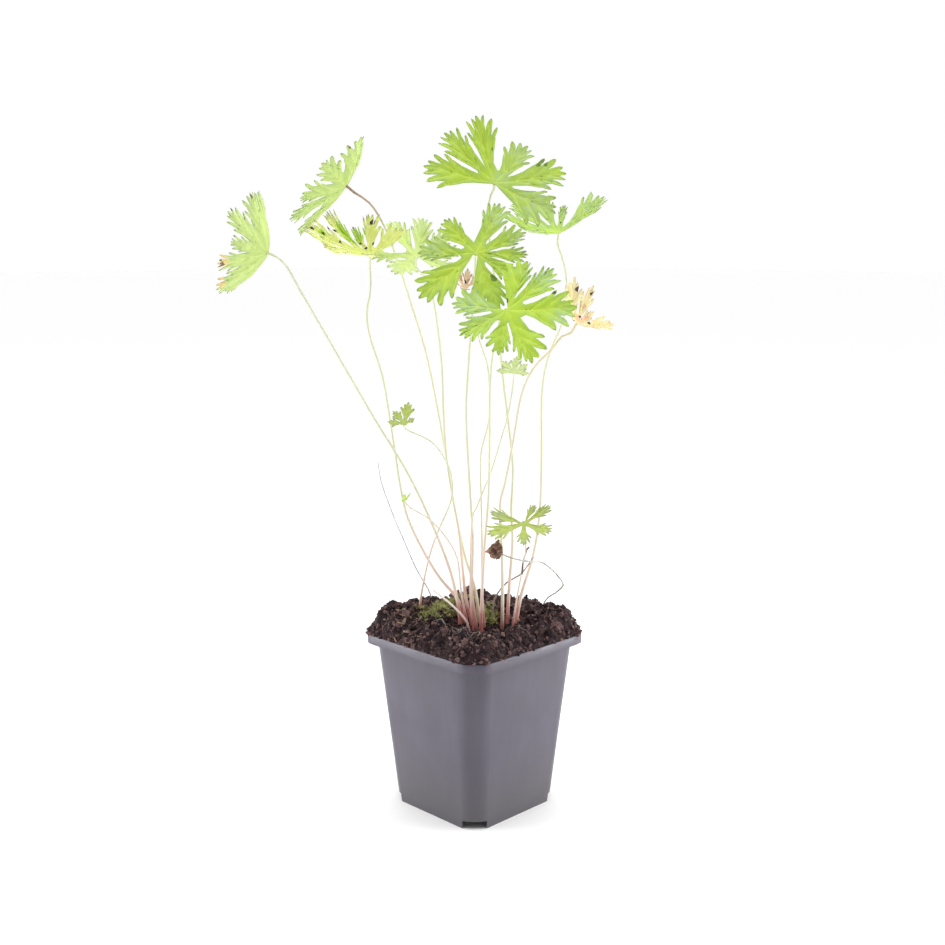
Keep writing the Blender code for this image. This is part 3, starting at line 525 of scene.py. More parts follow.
def on_soil(draw, margin):
    """A random place on the soil, at least a margin inside its edge."""
    while True:
        x, y = (draw.uniform(-RIM_PLAN[0], RIM_PLAN[0]) for _ in range(2))
        if soil_form(x, y)[1] > margin:
            return Vector((x, y, soil_top(x, y)))


def on_lip(draw):
    """A random place on the pot's lip, some of them a little outside it."""
    turn = draw.uniform(0.0, math.tau)
    reach = plan_radius(turn, *RIM_PLAN) - spread(draw, LIP_REACH)
    level = POT_HEIGHT + draw.uniform(0.0, LIP_RISE)
    return Vector((reach * math.cos(turn), reach * math.sin(turn), level))


def near_flakes(draw):
    """A random place among the flakes of straw."""
    across, back = draw.choice(FLAKES_AT)
    place = from_corner_on(across + draw.gauss(0.0, FLAKE_STRAY[0]), back + draw.gauss(0.0, FLAKE_STRAY[1]))
    return Vector((place.x, place.y, soil_top(place.x, place.y) + FLAKE_RISE))


print("a place on the lip", [round(c, 4) for c in on_lip(random.Random(3))])

# %% Crumbs on the soil
CRUMB_COUNT, CLOD_COUNT, LIP_COUNT, FLAKE_COUNT = 3800, 95, 560, 44
CRUMB_RADIUS, CLOD_RADIUS, LIP_RADIUS, FLAKE_RADIUS = (0.35, 1.3), (1.3, 2.7), (0.35, 1.2), (0.7, 1.6)
ROUND, FLAT = (1.0, 1.0, 0.8), (1.6, 0.6, 0.25)
UNEVEN = (0.75, 1.25)               # each way a crumb is made longer or shorter by a value between these
LUMPY, KNOBBLY = (0.60, 1.3), (0.45, 3.1)   # how far noise moves a crumb's surface, and how finely
ROUGHER = 3                         # clods are divided this often
TAN_SHARE, TAN_TONE = 0.03, 0.9


def pour_into(whole, part):
    """Add one bmesh's shapes to another."""
    mesh = plain_mesh(part, "part")
    whole.from_mesh(mesh)
    bpy.data.meshes.remove(mesh)


def in_batches(count, add_one, batch=40):
    """A bmesh of many small shapes. Operators look through the whole bmesh, so batches stay quick."""
    whole = bmesh.new()
    for start in range(0, count, batch):
        part = bmesh.new()
        for _ in range(min(batch, count - start)):
            add_one(part)
        pour_into(whole, part)
    return whole


def add_crumb(bm, draw, place, radius, tone, subdivisions=1, shape=ROUND):
    """One crumb: a small lump, out of round."""
    axis = Vector((draw.random(), draw.random(), draw.random() + 0.1))
    turn = Matrix.Rotation(draw.uniform(0.0, math.tau), 4, axis)
    squeeze = Matrix.Diagonal((*(part * draw.uniform(*UNEVEN) for part in shape), 1.0))
    layer = bm.verts.layers.float.get("tone") or bm.verts.layers.float.new("tone")
    made = bmesh.ops.create_icosphere(bm, subdivisions=subdivisions, radius=radius)["verts"]
    shift = Vector((draw.uniform(0, 50), draw.uniform(0, 50), 0.0))
    bulges = (LUMPY, KNOBBLY) if subdivisions == ROUGHER else (LUMPY,)
    for vert in made:
        way = vert.co / radius
        for rise, fineness in bulges:
            vert.co *= 1.0 + rise * noise.noise(way * fineness + shift)
        vert[layer] = tone
    bmesh.ops.transform(bm, matrix=Matrix.Translation(place) @ turn @ squeeze, verts=made)


def crumbs_mesh():
    """All the loose crumbs, clods and flakes."""
    draw = random.Random(11)

    def crumb(bm):
        radius = spread(draw, CRUMB_RADIUS, 2.0) * MM
        tone = TAN_TONE if draw.random() < TAN_SHARE else draw.uniform(0.0, 0.7)
        add_crumb(bm, draw, on_soil(draw, 0.0006) + Vector((0, 0, radius * 0.2)), radius, tone)

    def clod(bm):
        radius = spread(draw, CLOD_RADIUS, 1.6) * MM
        place = on_soil(draw, 0.0030) - Vector((0, 0, radius * 0.1))
        add_crumb(bm, draw, place, radius, draw.uniform(0.0, 0.6), ROUGHER)

    def lip_crumb(bm):
        add_crumb(bm, draw, on_lip(draw), spread(draw, LIP_RADIUS, 1.5) * MM, draw.uniform(0.0, 0.75))

    def flake(bm):
        radius = spread(draw, FLAKE_RADIUS) * MM
        add_crumb(bm, draw, near_flakes(draw), radius, draw.uniform(0.55, 0.95), shape=FLAT)

    kinds = ((CRUMB_COUNT, crumb), (CLOD_COUNT, clod), (LIP_COUNT, lip_crumb), (FLAKE_COUNT, flake))
    whole = bmesh.new()
    for count, add_one in kinds:
        pour_into(whole, in_batches(count, add_one))
    return mesh_from(whole, "crumbs", TO_POT, sharp=50)


loose_crumbs = crumbs_mesh()
print("crumb faces", len(loose_crumbs.polygons))

# %% The crumbs' material
def crumb_material():
    """Sphagnum peat, dried in crumbs. The eye gets dark, brown and tan bits side by side."""
    made, tree, shader = new_material("Sphagnum peat, crumbled", Specular_IOR_Level=0.25)
    place = add(tree, "TexCoord", out="Object")
    tone = add(tree, "Attribute", out="Fac", attribute_name="tone")
    uneven = add(tree, "TexNoise", {"Vector": place, "Scale": per(1.1), "Detail": 3.0})
    uneven = add(tree, "Math", {0: uneven, 1: 0.7, 2: -0.35}, operation="MULTIPLY_ADD")
    tone = add(tree, "Math", {0: tone, 1: uneven}, operation="ADD")
    brown = add(tree, "MapRange", {0: tone, 1: 0.05, 2: 0.65}, **SMOOTH)
    colour = add(tree, "Mix", {0: brown, 6: linear("#22171A"), 7: linear("#6E5554")}, **COLOURS)
    tan = add(tree, "MapRange", {0: tone, 1: 0.70, 2: 0.95}, **SMOOTH)
    colour = add(tree, "Mix", {0: tan, 6: colour, 7: linear("#94806C")}, **COLOURS)
    crumbly = add(tree, "TexNoise", {"Vector": place, "Scale": per(0.6), "Detail": 4.0})
    finish_surface(tree, shader, colour, crumbly, PEAT_ROUGH, 0.9, 0.0005)
    return made


finish_piece("peat_crumbs", loose_crumbs, [crumb_material()])
print("crumbs", CRUMB_COUNT + CLOD_COUNT + LIP_COUNT + FLAKE_COUNT)

# %% [markdown]
# Peat is full of torn roots and straw. Most lie anywhere on the heap, and some pale ones lie in front
# of the stalks. Each is a short bent run that follows the soil's height and arches a little over it.
# Thin round things are quickest as curves: one curve holds many runs, a round bevel gives them their
# thickness, and a radius at each point lets them taper. The stalks will be made with the same tools.

# %% Fibres in the soil
FIBRES = {"root_fibres": (70, 0.16, (5, 16)), "pale_roots": (22, 0.14, (5, 11))}    # count, radius, length
THREADS_AT = ((-14.0, -20.0), (-8.0, -25.0), (-2.0, -29.0))
THREAD_STRAY, FIBRE_MARGIN = 0.002, 0.003
FIBRE_STEPS, FIBRE_BEND, FIBRE_ARCH, FIBRE_TAPER = 7, 0.25, 0.0012, 0.6
RIM_MARGIN = 0.001                  # nearer the rim than this, a fibre lies level on the lip


def round_curve(name, radius, sides):
    """A 3D curve without any runs yet, with a round bevel and closed ends."""
    curve = bpy.data.curves.new(name, "CURVE")
    curve.dimensions, curve.bevel_depth = "3D", radius
    curve.bevel_resolution, curve.use_fill_caps = sides, True
    return curve


def add_run(curve, places, widths):
    """Add a run through places in the world, with its width at each against the curve's bevel."""
    spline = curve.splines.new("POLY")
    spline.points.add(len(places) - 1)
    for point, place, width in zip(spline.points, places, widths):
        point.co = (*place, 1.0)
        point.radius = width
    return spline


def fibre_curve(name, draw, near=None):
    """Thin bent fibres that lie on the soil, as the runs of one curve."""
    count, radius_mm, length_mm = FIBRES[name]
    curve = round_curve(name, radius_mm * MM, 0)
    parts = [k / FIBRE_STEPS for k in range(FIBRE_STEPS + 1)]
    for _ in range(count):
        start = on_soil(draw, FIBRE_MARGIN)
        if near:
            start = from_corner_on(*draw.choice(near))
            start += Vector((draw.gauss(0, THREAD_STRAY), draw.gauss(0, THREAD_STRAY), 0.0))
        heading = draw.uniform(0.0, math.tau)
        length = draw.uniform(*length_mm) * MM
        places = []
        for part in parts:
            heading += draw.gauss(0.0, FIBRE_BEND)
            start = start + Vector((math.cos(heading), math.sin(heading), 0.0)) * length / FIBRE_STEPS
            inside = plan_radius(math.atan2(start.y, start.x), *RIM_PLAN) - math.hypot(start.x, start.y)
            height = soil_top(start.x, start.y) if inside > RIM_MARGIN else POT_HEIGHT
            arch = FIBRE_ARCH * math.sin(math.pi * part)
            places.append(TO_POT @ Vector((start.x, start.y, height + arch)))
        add_run(curve, places, [1.0 - FIBRE_TAPER * part for part in parts])
    return curve


def dry_surface(name, low, high, patches, grain, rough, bump):
    """A dry plant surface: two tones in patches of a size, and a fine grain, with their noise's detail."""
    made, tree, shader = new_material(name)
    place = add(tree, "TexCoord", out="Object")
    colour = cover(tree, place, linear(low), high, *patches)
    fine = add(tree, "TexNoise", {"Vector": place, "Scale": per(grain[0]), "Detail": grain[1]})
    finish_surface(tree, shader, colour, fine, rough, *bump)
    return made


def dry_fibre(name, low, high):
    """A dry plant fibre. The eye gets a matte thread whose colour drifts along it."""
    return dry_surface(name, low, high, (4.0, (0.35, 0.65)), (0.5, 2.0), (0.68, 0.82), (0.5, 0.0001))


fibre_draw = random.Random(23)
finish_piece("root_fibres", fibre_curve("root_fibres", fibre_draw),
             [dry_fibre("Dry root fibre", "#4A3833", "#7C665B")])
finish_piece("pale_roots", fibre_curve("pale_roots", fibre_draw, THREADS_AT),
             [dry_fibre("Fine pale root", "#9A9488", "#BDB7AC")])
print("fibres", {name: count for name, (count, _, _) in FIBRES.items()})

# %% [markdown]
# Moss grows behind the stalks in two larger cushions and two smaller ones. A moss shoot is a star of
# pointed leaflets one to three millimetres long. Each leaflet here is a cone of three sides that leans
# out from its shoot, and the shoots are crowded towards the middle of their cushion.

# %% Moss cushions
# Each cushion: its middle across and back, its width and depth, and its number of shoots
MOSS_AT = (((-20.0, -3.0), (9.0, 8.0), 330), ((7.0, -3.0), (6.5, 6.0), 170), ((-4.0, 24.0), (6.0, 4.0), 60),
           ((-13.0, 10.0), (6.0, 6.0), 110))
CROWDING, SHOOT_RISE, SHOOT_BATCH = 0.5, 0.0012, 15
LEAFLET_COUNT, LEAFLET_LENGTH, LEAFLET_WIDTH = 8, (1.1, 2.8), 0.16
LEAFLET_LEAN, LEAFLET_STRAY = (0.25, 1.2), (-0.4, 0.4)      # in radians


def add_shoot(bm, draw, place):
    """One moss shoot: a star of pointed leaflets."""
    for k in range(LEAFLET_COUNT):
        length = draw.uniform(*LEAFLET_LENGTH) * MM
        lean = Matrix.Rotation(draw.uniform(*LEAFLET_LEAN), 4, "X")
        turn = Matrix.Rotation(math.tau * k / LEAFLET_COUNT + draw.uniform(*LEAFLET_STRAY), 4, "Z")
        bmesh.ops.create_cone(
            bm, cap_ends=True, segments=3, radius1=length * LEAFLET_WIDTH, radius2=0.0, depth=length,
            matrix=Matrix.Translation(place) @ turn @ lean @ Matrix.Translation((0, 0, length / 2)))


def moss_mesh():
    """All the moss shoots."""
    draw = random.Random(5)
    shoots = [cushion for *cushion, count in MOSS_AT for _ in range(count)]
    places = []
    for (across, back), (wide, deep) in shoots:
        place = from_corner_on(across + draw.gauss(0, CROWDING) * wide, back + draw.gauss(0, CROWDING) * deep)
        level = soil_top(place.x, place.y) + draw.uniform(0.0, SHOOT_RISE)
        places.append(Vector((place.x, place.y, level)))
    feet = iter(places)
    bm = in_batches(len(places), lambda part: add_shoot(part, draw, next(feet)), SHOOT_BATCH)
    return mesh_from(bm, "moss", TO_POT, sharp=30)


def moss_material():
    """Moss, living. The eye gets yellow-green tips over a darker body, browning in patches."""
    made, tree, shader = new_material("Moss, living")
    place = add(tree, "TexCoord", out="Object")
    colour = cover(tree, place, linear("#788044"), "#BDBE7E", 1.6, (0.35, 0.65), 3.0)
    colour = cover(tree, place, colour, "#75664A", 5.0, (0.52, 0.66))
    # Folds in a leaflet, drawn at 0.4 mm: coarser than real ones, so that they show
    folded = add(tree, "TexNoise", {"Vector": place, "Scale": per(0.4), "Detail": 2.0})
    finish_surface(tree, shader, colour, folded, (0.54, 0.66), 0.4, 0.0001)
    return made


moss = finish_piece("moss_cushions", moss_mesh(), [moss_material()])
print("moss faces", len(moss.data.polygons))

# %% [markdown]
# Each leaf is a stalk with a blade at its end. The table gives where the two meet, the way the blade
# faces, its kind of tissue, its lobes as direction in degrees, length and lift of the tip, and the
# stalk's foot and route upwards, with lengths in millimetres in the corner-on frame. A leaf may also
# name the shape of its lobes, and say how near the middle it is cut. Marks are places on the blade, in
# its own plane, with a radius: "stain" is dead dark tissue, "dry" is a patch that has lost its green,
# and "grey" is a painted sheen, a greyer green where light catches thick silky hairs; on pale tissue
# it is a darker green.

# %% The leaves
LEAVES = {
    "far_left": dict(
        at=(-105, -8, 296), face=(-0.82, 0.40, 0.30), tissue="pale", cut=0.50,
        lobes=((-84, 27, 17, 0.5, 0.8), (-43, 32, 10), (-14, 31, 7, 0.5, 0.5), (9, 25, 6, 0.6, 0.8),
               (35, 31, 13), (65, 31, 9, 1.0, 0.5), (104, 28, 20, 0.5, 0.5)),
        dry=((27, -6.5, 3.6), (22.5, -18, 2.8), (24, -15.5, 2.0)),
        stain=((27, -8, 1.6), (29, -5.5, 1.1), (29, 11, 1.1), (12, 26.5, 1.1), (23, 19, 0.9),
               (6.5, 20, 0.9), (22, 7, 1.0)),
        foot=(-7.6, -14.5), route=((-9, -14, 115), (-15, -12, 138), (-32, -11, 178), (-53, -10, 214),
                                   (-75, -9, 253), (-89, -9, 278), (-95, -8.6, 289)),
    ),
    "upper_left": dict(
        at=(-68.4, 33, 331.3), face=(-0.74, 0.30, 0.60), tissue="pale", cut=0.40,
        lobes=((-89, 38, 8, 0.3, 0.4), (-50, 36, 7, 0.6, 0.7), (-26, 31, 6), (17, 26, 7),
               (64, 32, 1, 0.8, 0.5), (112, 24, 10, 0.4, 0.4)),
        stain=((18, 22, 1.0),), grey=((20, -22, 13), (25, -12, 6)),
        foot=(2.6, -10.3), route=((0, -8.5, 122), (-5, -4, 137), (-10.5, 2, 162), (-15, 8, 188),
                                  (-20, 15, 215), (-26, 22, 243), (-34.5, 29, 270), (-43, 33, 296),
                                  (-50, 34.5, 313), (-56.5, 34.5, 322.6)),
    ),
    "spotted": dict(
        at=(-54, 6, 295), face=(0.05, -0.20, 0.98), tissue="spotted", shape="ragged",
        lobes=((38, 24, 13), (84, 25, 19), (107, 21, 12), (126, 33, 17, 0.6, 0.6), (152, 36, 11),
               (184, 36, 13), (212, 31, 8, 0.6, 0.7), (258, 22, 6, 0.6, 0.6)),
        dry=((-7, 16.5, 6.5), (-10.5, 19, 4.5), (-23.5, 12, 2.4)),
        stain=((-28.5, 14.5, 1.2), (-20, 16.5, 1.0), (-16.5, 15, 0.9), (-23, 12.5, 1.0), (4, 19, 1.4),
               (-1.5, 6, 1.0), (3, 8, 1.0), (-14.5, 9, 0.8), (-3.5, 10, 0.9), (-6, 19.5, 0.8)),
        foot=(-5.6, -10.2), route=((-8.5, -11, 115), (-20, -12, 130), (-32.5, -10, 153),
                                   (-38, -8, 171), (-44, -4, 210), (-48, -1, 233), (-54, 1.5, 252),
                                   (-56, 3, 265), (-54, 4.5, 277)),
    ),
    "pale": dict(
        at=(-30.5, 22, 294), face=(0.10, -0.30, 0.95), tissue="washed",
        lobes=((-50, 22, 0), (-8, 24, 5), (32, 26, 10), (70, 27, 14), (106, 25, 13),
               (182, 27, 1), (228, 25, -3)),
        stain=((-1, 25, 0.8), (12, 22, 0.8), (20, 15, 0.7)),
        foot=(-1.5, -10.4), route=((-5, -9.5, 118), (-8, -5, 149), (-11.5, -1, 168), (-15, 3, 191),
                                   (-16.5, 7.5, 215), (-17.5, 12, 240), (-21.5, 17.5, 270),
                                   (-26, 20.5, 283)),
    ),
    "broad_upper": dict(
        at=(0.6, -22, 296), face=(0.05, -0.82, 0.57), tissue="green",
        lobes=((178, 29, -2, 1.0, 0.4), (-141, 37, -4, 1.0, 0.9), (-71, 33, -3), (-34, 25, -1),
               (-2, 26, 1), (24, 28, 2), (66, 32, 2, 1.0, 0.5), (128, 25, 2, 0.55, 1.0)),
        stain=((8.5, -13.5, 2.0), (8.5, -15, 1.4)),
        grey=((15, 21, 9), (24, 8, 7), (-22, 4, 7)),
        foot=(0.8, -14.4), route=((-1.5, -12, 120), (-1, -12, 149), (-2.5, -13.5, 176),
                                  (-4.3, -15, 213), (-3.5, -15.5, 235), (-1.5, -15, 262),
                                  (0, -14.5, 282)),
    ),
    "broad_lower": dict(
        at=(15.3, -46, 269), face=(-0.05, -0.82, 0.57), tissue="fresh",
        lobes=((172, 27, 0), (-149, 26, -1), (-98, 24, -2), (-65, 30, -3), (3, 34, 0), (47, 33, 0),
               (71, 30, 0)),
        stain=((23, 9, 1.0), (0, 5.5, 0.9)),
        grey=((-17, 3, 11), (19, 22, 9), (27, -4, 5)),
        foot=(3.4, -18.3), route=((3.8, -19, 120), (5, -21, 145), (7, -27, 175), (7.5, -31, 205),
                                  (7.5, -34.5, 228), (9, -37, 248), (13, -38, 261)),
    ),
    "top": dict(
        at=(10.3, 8, 331.5), face=(0.05, -0.90, 0.43), tissue="green",
        lobes=((-27, 35, -2), (9, 38, 0), (50, 28, 0), (103, 40, 0, 0.6, 1.0), (131, 39, 0),
               (164, 38, 0, 1.0, 0.8)),
        stain=((24.5, 12.5, 1.9), (26.5, 10.5, 1.3), (23, 10, 1.2)),
        grey=((15, 17, 11), (22, -11, 13), (4, 2, 5)),
        foot=(17.4, -11.0), route=((18.5, -9.5, 125), (20, -8, 146), (19.3, -6.5, 163), (20, -4.5, 187),
                                   (17, -2, 214), (14, 0.5, 240), (12, 3, 272), (8, 8, 300),
                                   (7, 12, 320)),
    ),
    "right_back": dict(
        at=(45.8, 44, 307), face=(0.05, -0.30, 0.95), tissue="green",
        lobes=((39, 40, 13, 0.35, 0.5), (71, 22, 10, 0.3, 0.3), (100, 30, 12.5, 0.5, 1.0),
               (132, 33, 8), (172, 31, 7), (212, 29, 8)),
        grey=((22, 18, 15), (-12, 14, 12), (4, 12, 8)),
        foot=(22.0, -12.4), route=((25, -8, 118), (31.5, -1, 138), (35, 6, 160), (36, 13, 188),
                                   (36.5, 22, 223), (40.5, 27, 242), (47.5, 32, 258),
                                   (50.3, 36, 272), (49.5, 40, 287)),
    ),
    "yellowed": dict(
        at=(51, -25, 262), face=(0.45, -0.30, 0.84), tissue="yellowed", shape="young",
        lobes=((-60, 12, 4), (-20, 25, 0), (6, 15, 8), (29, 23, 15), (56, 24, 13), (100, 14, 9),
               (152, 10, 7)),
        dry=((3.5, 1.5, 2.6), (8.5, 1, 1.6), (10.5, 6, 1.1)),
        stain=((11.5, 14, 1.2), (17, 8.5, 0.8), (5, 2, 1.0), (8, -2, 0.9), (-3, 1, 0.8)),
        foot=(14.6, -16.2), route=((14.6, -17, 125), (14, -18, 148), (13, -19, 168), (15.6, -20, 180),
                                   (19.5, -21, 201), (23.5, -22, 225), (29.5, -23, 239),
                                   (38, -23.5, 248), (43.5, -24, 255)),
    ),
    "withered_small": dict(
        at=(-4.4, -4, 279), face=(0.10, -0.40, 0.90), tissue="withered", shape="young",
        lobes=((20, 8, 6), (75, 9, 7), (130, 8, 7), (190, 9, 6), (250, 8, 3)),
        dry=((-2, 4, 1.3), (2, 3, 0.9)),
        stain=((0, 3, 0.9),),
        foot=(5.2, -14.4), route=((4, -12.5, 120), (3.9, -11, 149), (3.4, -10, 170), (3.3, -8.5, 193),
                                  (7.5, -7.5, 212), (7, -6, 237), (3, -5, 250), (-2, -4, 268)),
    ),
    "yellow_small": dict(
        at=(20, -12, 236), face=(0.0, -0.50, 0.86), tissue="straw", shape="young",
        lobes=((-10, 8, 1), (35, 9, 2), (80, 11, 3), (125, 10, 2), (170, 9, 1)),
        foot=(-0.8, -18.3), route=((-2.2, -17, 122), (-1.5, -16, 158), (1, -15.5, 166), (5, -14.6, 176),
                                   (9, -13.8, 186), (14, -13, 203), (17.2, -12, 214)),
    ),
    "young_left": dict(
        at=(-36, -14, 210), face=(0.0, -0.80, 0.60), tissue="young", shape="young",
        lobes=((30, 6, 0), (82, 13, 0), (130, 10, 0), (172, 9, 0)),
        foot=(-29.3, -2), route=((-28.2, -3, 118), (-24.2, -5, 137), (-19.5, -7, 151),
                                 (-12.5, -8.5, 168), (-11.8, -9.5, 180), (-15, -10, 190),
                                 (-22.5, -11, 200)),
    ),
    "bud_left": dict(
        at=(-36.5, -20, 171), face=(-0.60, -0.20, 0.78), tissue="fresh", shape="bud",
        lobes=((20, 4, 1), (80, 5, 1), (150, 5, 1)),
        foot=(-3.6, -14.4), route=((-7, -16.5, 121), (-9.2, -17.5, 140), (-16, -18.5, 152.5),
                                   (-24.6, -19, 161.7)),
    ),
    "low": dict(
        at=(25, -30, 161), face=(0.0, -0.75, 0.66), tissue="young", shape="ragged", cut=0.14,
        lobes=((-31, 16, 6, 0.8, 0.8), (34, 17, 3.5, 0.7, 0.7), (62, 13, -2, 0.6, 0.6),
               (166, 18, 5, 0.6, 0.7), (-154, 21, 6, 0.85, 0.8), (-92, 14, 3, 0.9, 0.9)),
        grey=((-16, 5, 6),),
        foot=(20.0, -17.6), route=((22.4, -20.5, 121), (24.8, -23.5, 136), (26.3, -25, 148)),
    ),
}
print("leaves", len(LEAVES))

# %% [markdown]
# A cranesbill's blade is cut nearly to its middle into lobes, and each lobe is cut again into fingers
# with pointed, slightly rounded tips. One side of a lobe is a short list of corners, as parts of the
# lobe's length along it and across it. The run between two corners is bowed outwards by a part of
# its own length, which is what makes a tooth look grown rather than cut with scissors. A neighbour
# that is close squeezes the lobe, by turning each corner towards the lobe's midrib. A lobe in the
# table may also give how wide its two sides are, right and left of its midrib.

# %% Lobes
SHAPES = {
    "cut": ((0.26, 0.095, 0.00), (0.45, 0.195, -0.05), (0.585, 0.280, 0.04), (0.690, 0.365, 0.12),
            (0.640, 0.205, 0.10), (0.740, 0.255, 0.04), (0.865, 0.320, 0.12), (0.850, 0.225, 0.10),
            (0.745, 0.115, 0.04), (0.830, 0.135, 0.06), (0.955, 0.150, 0.12), (0.900, 0.060, 0.10)),
    "ragged": ((0.26, 0.080, 0.00), (0.45, 0.150, -0.05), (0.660, 0.310, 0.06), (0.560, 0.140, 0.10),
               (0.900, 0.270, 0.06), (0.700, 0.085, 0.10), (0.960, 0.110, 0.08), (0.860, 0.040, 0.10)),
    "young": ((0.30, 0.085, 0.00), (0.50, 0.18, 0.05), (0.70, 0.30, 0.12), (0.66, 0.13, 0.10),
              (0.88, 0.14, 0.12), (0.84, 0.06, 0.08)),
    "bud": ((0.35, 0.12, 0.08), (0.70, 0.22, 0.10)),
}
OUTER_SPACE, MOST_HALF_SPACE, SIDE_MARGIN = 70.0, 40.0, 1.2     # degrees beside a lobe
CUT, NECK, NECK_TURNS = 0.26, 1.4, (-50.0, 0.0, 50.0)
WOBBLE = 0.013                      # how far a corner strays, against its lobe's length
BOW_STEPS, BOW_PEAK = 4, 6.75       # 6.75 makes t * t * (1 - t) reach one where it is highest
TIP_CORNER = (1.0, 0.0, 0.10)


def lobe_plan(leaf):
    """Each lobe in order round the blade, with the room beside it and how far each side is squeezed."""
    lobes = leaf["lobes"]
    shape = SHAPES[leaf.get("shape", "cut")]
    widest = max(math.degrees(math.atan2(across, along)) for along, across, _ in shape)
    count = len(lobes)
    spaces = [(lobes[(k + 1) % count][0] - lobes[k][0]) % 360.0 for k in range(count)]
    sinus = max(range(count), key=lambda k: spaces[k])
    plan = []
    for k in range(count):
        index = (sinus + 1 + k) % count
        heading, length, lift, *widths = lobes[index]
        before = spaces[index - 1] / 2 if k else OUTER_SPACE / 2
        after = spaces[index] / 2 if k < count - 1 else OUTER_SPACE / 2
        squeeze = [min(width, (min(room, MOST_HALF_SPACE) - SIDE_MARGIN) / widest)
                   for room, width in zip((before, after), widths or (1.0, 1.0))]
        plan.append(dict(heading=heading, length=length, lift=lift, room=(before, after), squeeze=squeeze))
    return plan, lobes[sinus][0] + spaces[sinus] / 2


def bowed(points):
    """The corners of one side, with points on each bowed run between them, tip last.

    A run swells most near the tooth's tip and leaves its notch straight, so notches stay narrow.
    """
    run = [points[0][:2]]
    for (x0, y0, _), (x1, y1, bow) in zip(points, points[1:]):
        for k in range(1, BOW_STEPS + 1):
            t = k / BOW_STEPS
            out = bow * BOW_PEAK * (t * t * (1.0 - t) if x1 > x0 else t * (1.0 - t) ** 2)
            run.append((x0 + (x1 - x0) * t - (y1 - y0) * out, y0 + (y1 - y0) * t + (x1 - x0) * out))
    return run


def lobe_side(lobe, shape, side, cut, draw):
    """One side of a lobe from its foot to its tip, as reach and heading."""
    corners = [(along + draw.uniform(-WOBBLE, WOBBLE), across + draw.uniform(-WOBBLE, WOBBLE), bow)
               for along, across, bow in shape]
    corners = [corner for corner in corners if corner[0] > cut]
    squeeze = lobe["squeeze"][0 if side < 0 else 1]
    most = lobe["room"][0 if side < 0 else 1] - SIDE_MARGIN / 2
    points = []
    for along, across in bowed(corners + [TIP_CORNER]):
        turn = min(math.degrees(math.atan2(max(across, 0.0), along)) * squeeze, most)
        points.append((lobe["length"] * math.hypot(along, across), lobe["heading"] + side * turn))
    return points


def blade_edge(name, leaf):
    """The blade's whole edge in its own plane, in millimetres."""
    plan, behind = lobe_plan(leaf)
    shape = SHAPES[leaf.get("shape", "cut")]
    cut = leaf.get("cut", CUT)
    edge = []
    for k, lobe in enumerate(plan):
        draw = random.Random(name + str(k))
        edge += lobe_side(lobe, shape, -1, cut, draw)
        edge += list(reversed(lobe_side(lobe, shape, 1, cut, draw)))[1:]
        if k + 1 < len(plan):
            between = lobe["heading"] + lobe["room"][1]
            edge.append((cut * min(lobe["length"], plan[k + 1]["length"]), between))
    edge += [(NECK, behind + turn) for turn in NECK_TURNS]
    return plan, [(r * math.cos(math.radians(a)), r * math.sin(math.radians(a))) for r, a in edge]


print("corners on the top leaf's edge", len(blade_edge("top", LEAVES["top"])[1]))

# %% [markdown]
# The flat edge is filled with triangles and cut by two sets of planes about a millimetre apart, so
# that it can bend. Then every vertex is lifted. The lift has four parts: each lobe rises or droops
# towards its tip, it is folded a little along its midrib, the veins lie in shallow creases with the
# tissue quilted between them, and thin tips wave up and down. Each face remembers where it lies on
# its lobe in a UV map, along and across, because the veins follow the lobe and not the object.

# %% Bending a blade
LOBE_SPREAD, LIFT_POWER = 22.0, 1.4
LEAST_PULL = 1e-4                   # what even the furthest lobe has to say about a place's height
FOLD = 0.10                         # rise of a lobe's edge above its midrib, against its width
QUILT, CREASE_WIDTH = 0.55, 0.9     # the creases at the veins, in millimetres
SLOW_WAVE, QUICK_WAVE, QUICK_SHARE = 13.0, 4.5, 0.35    # lengths in millimetres, and the finer one's height
# Each vein is a line on half a lobe: a * along + b * across + c is a place's distance from it
VEINS = ((0.0, 1.0, 0.0), (0.673, -0.740, -0.202), (0.622, -0.783, -0.311), (0.463, -0.886, -0.324))


def turn_from(lobe, x, y):
    """How far round the blade a place lies from a lobe's midrib, in degrees."""
    return (math.degrees(math.atan2(y, x)) - lobe["heading"] + 180.0) % 360.0 - 180.0


def face_lobe(plan, x, y):
    """The lobe that a place on the blade belongs to."""
    turns = [turn_from(lobe, x, y) for lobe in plan]
    shares = [abs(turn) / lobe["room"][0 if turn < 0 else 1] for lobe, turn in zip(plan, turns)]
    return plan[shares.index(min(shares))]


def on_lobe(lobe, x, y):
    """Where a place lies on its lobe: along it and across it, against its length."""
    turn = turn_from(lobe, x, y)
    turn = math.radians(turn / lobe["squeeze"][0 if turn < 0 else 1])
    reach = math.hypot(x, y) / lobe["length"]
    return reach * math.cos(turn), reach * math.sin(turn)


def base_lift(plan, x, y):
    """Height of the blade from the lift of its lobes."""
    total = weight = 0.0
    for lobe in plan:
        near = math.exp(-((turn_from(lobe, x, y) / LOBE_SPREAD) ** 2)) + LEAST_PULL
        total += near * lobe["lift"] * (math.hypot(x, y) / lobe["length"]) ** LIFT_POWER
        weight += near
    return total / weight


def vein_distance(lobe, along, across):
    """Distance from a place on a lobe to the nearest vein, in millimetres."""
    nearest = min(abs(a * along + b * abs(across) + c) for a, b, c in VEINS)
    return nearest * lobe["length"]


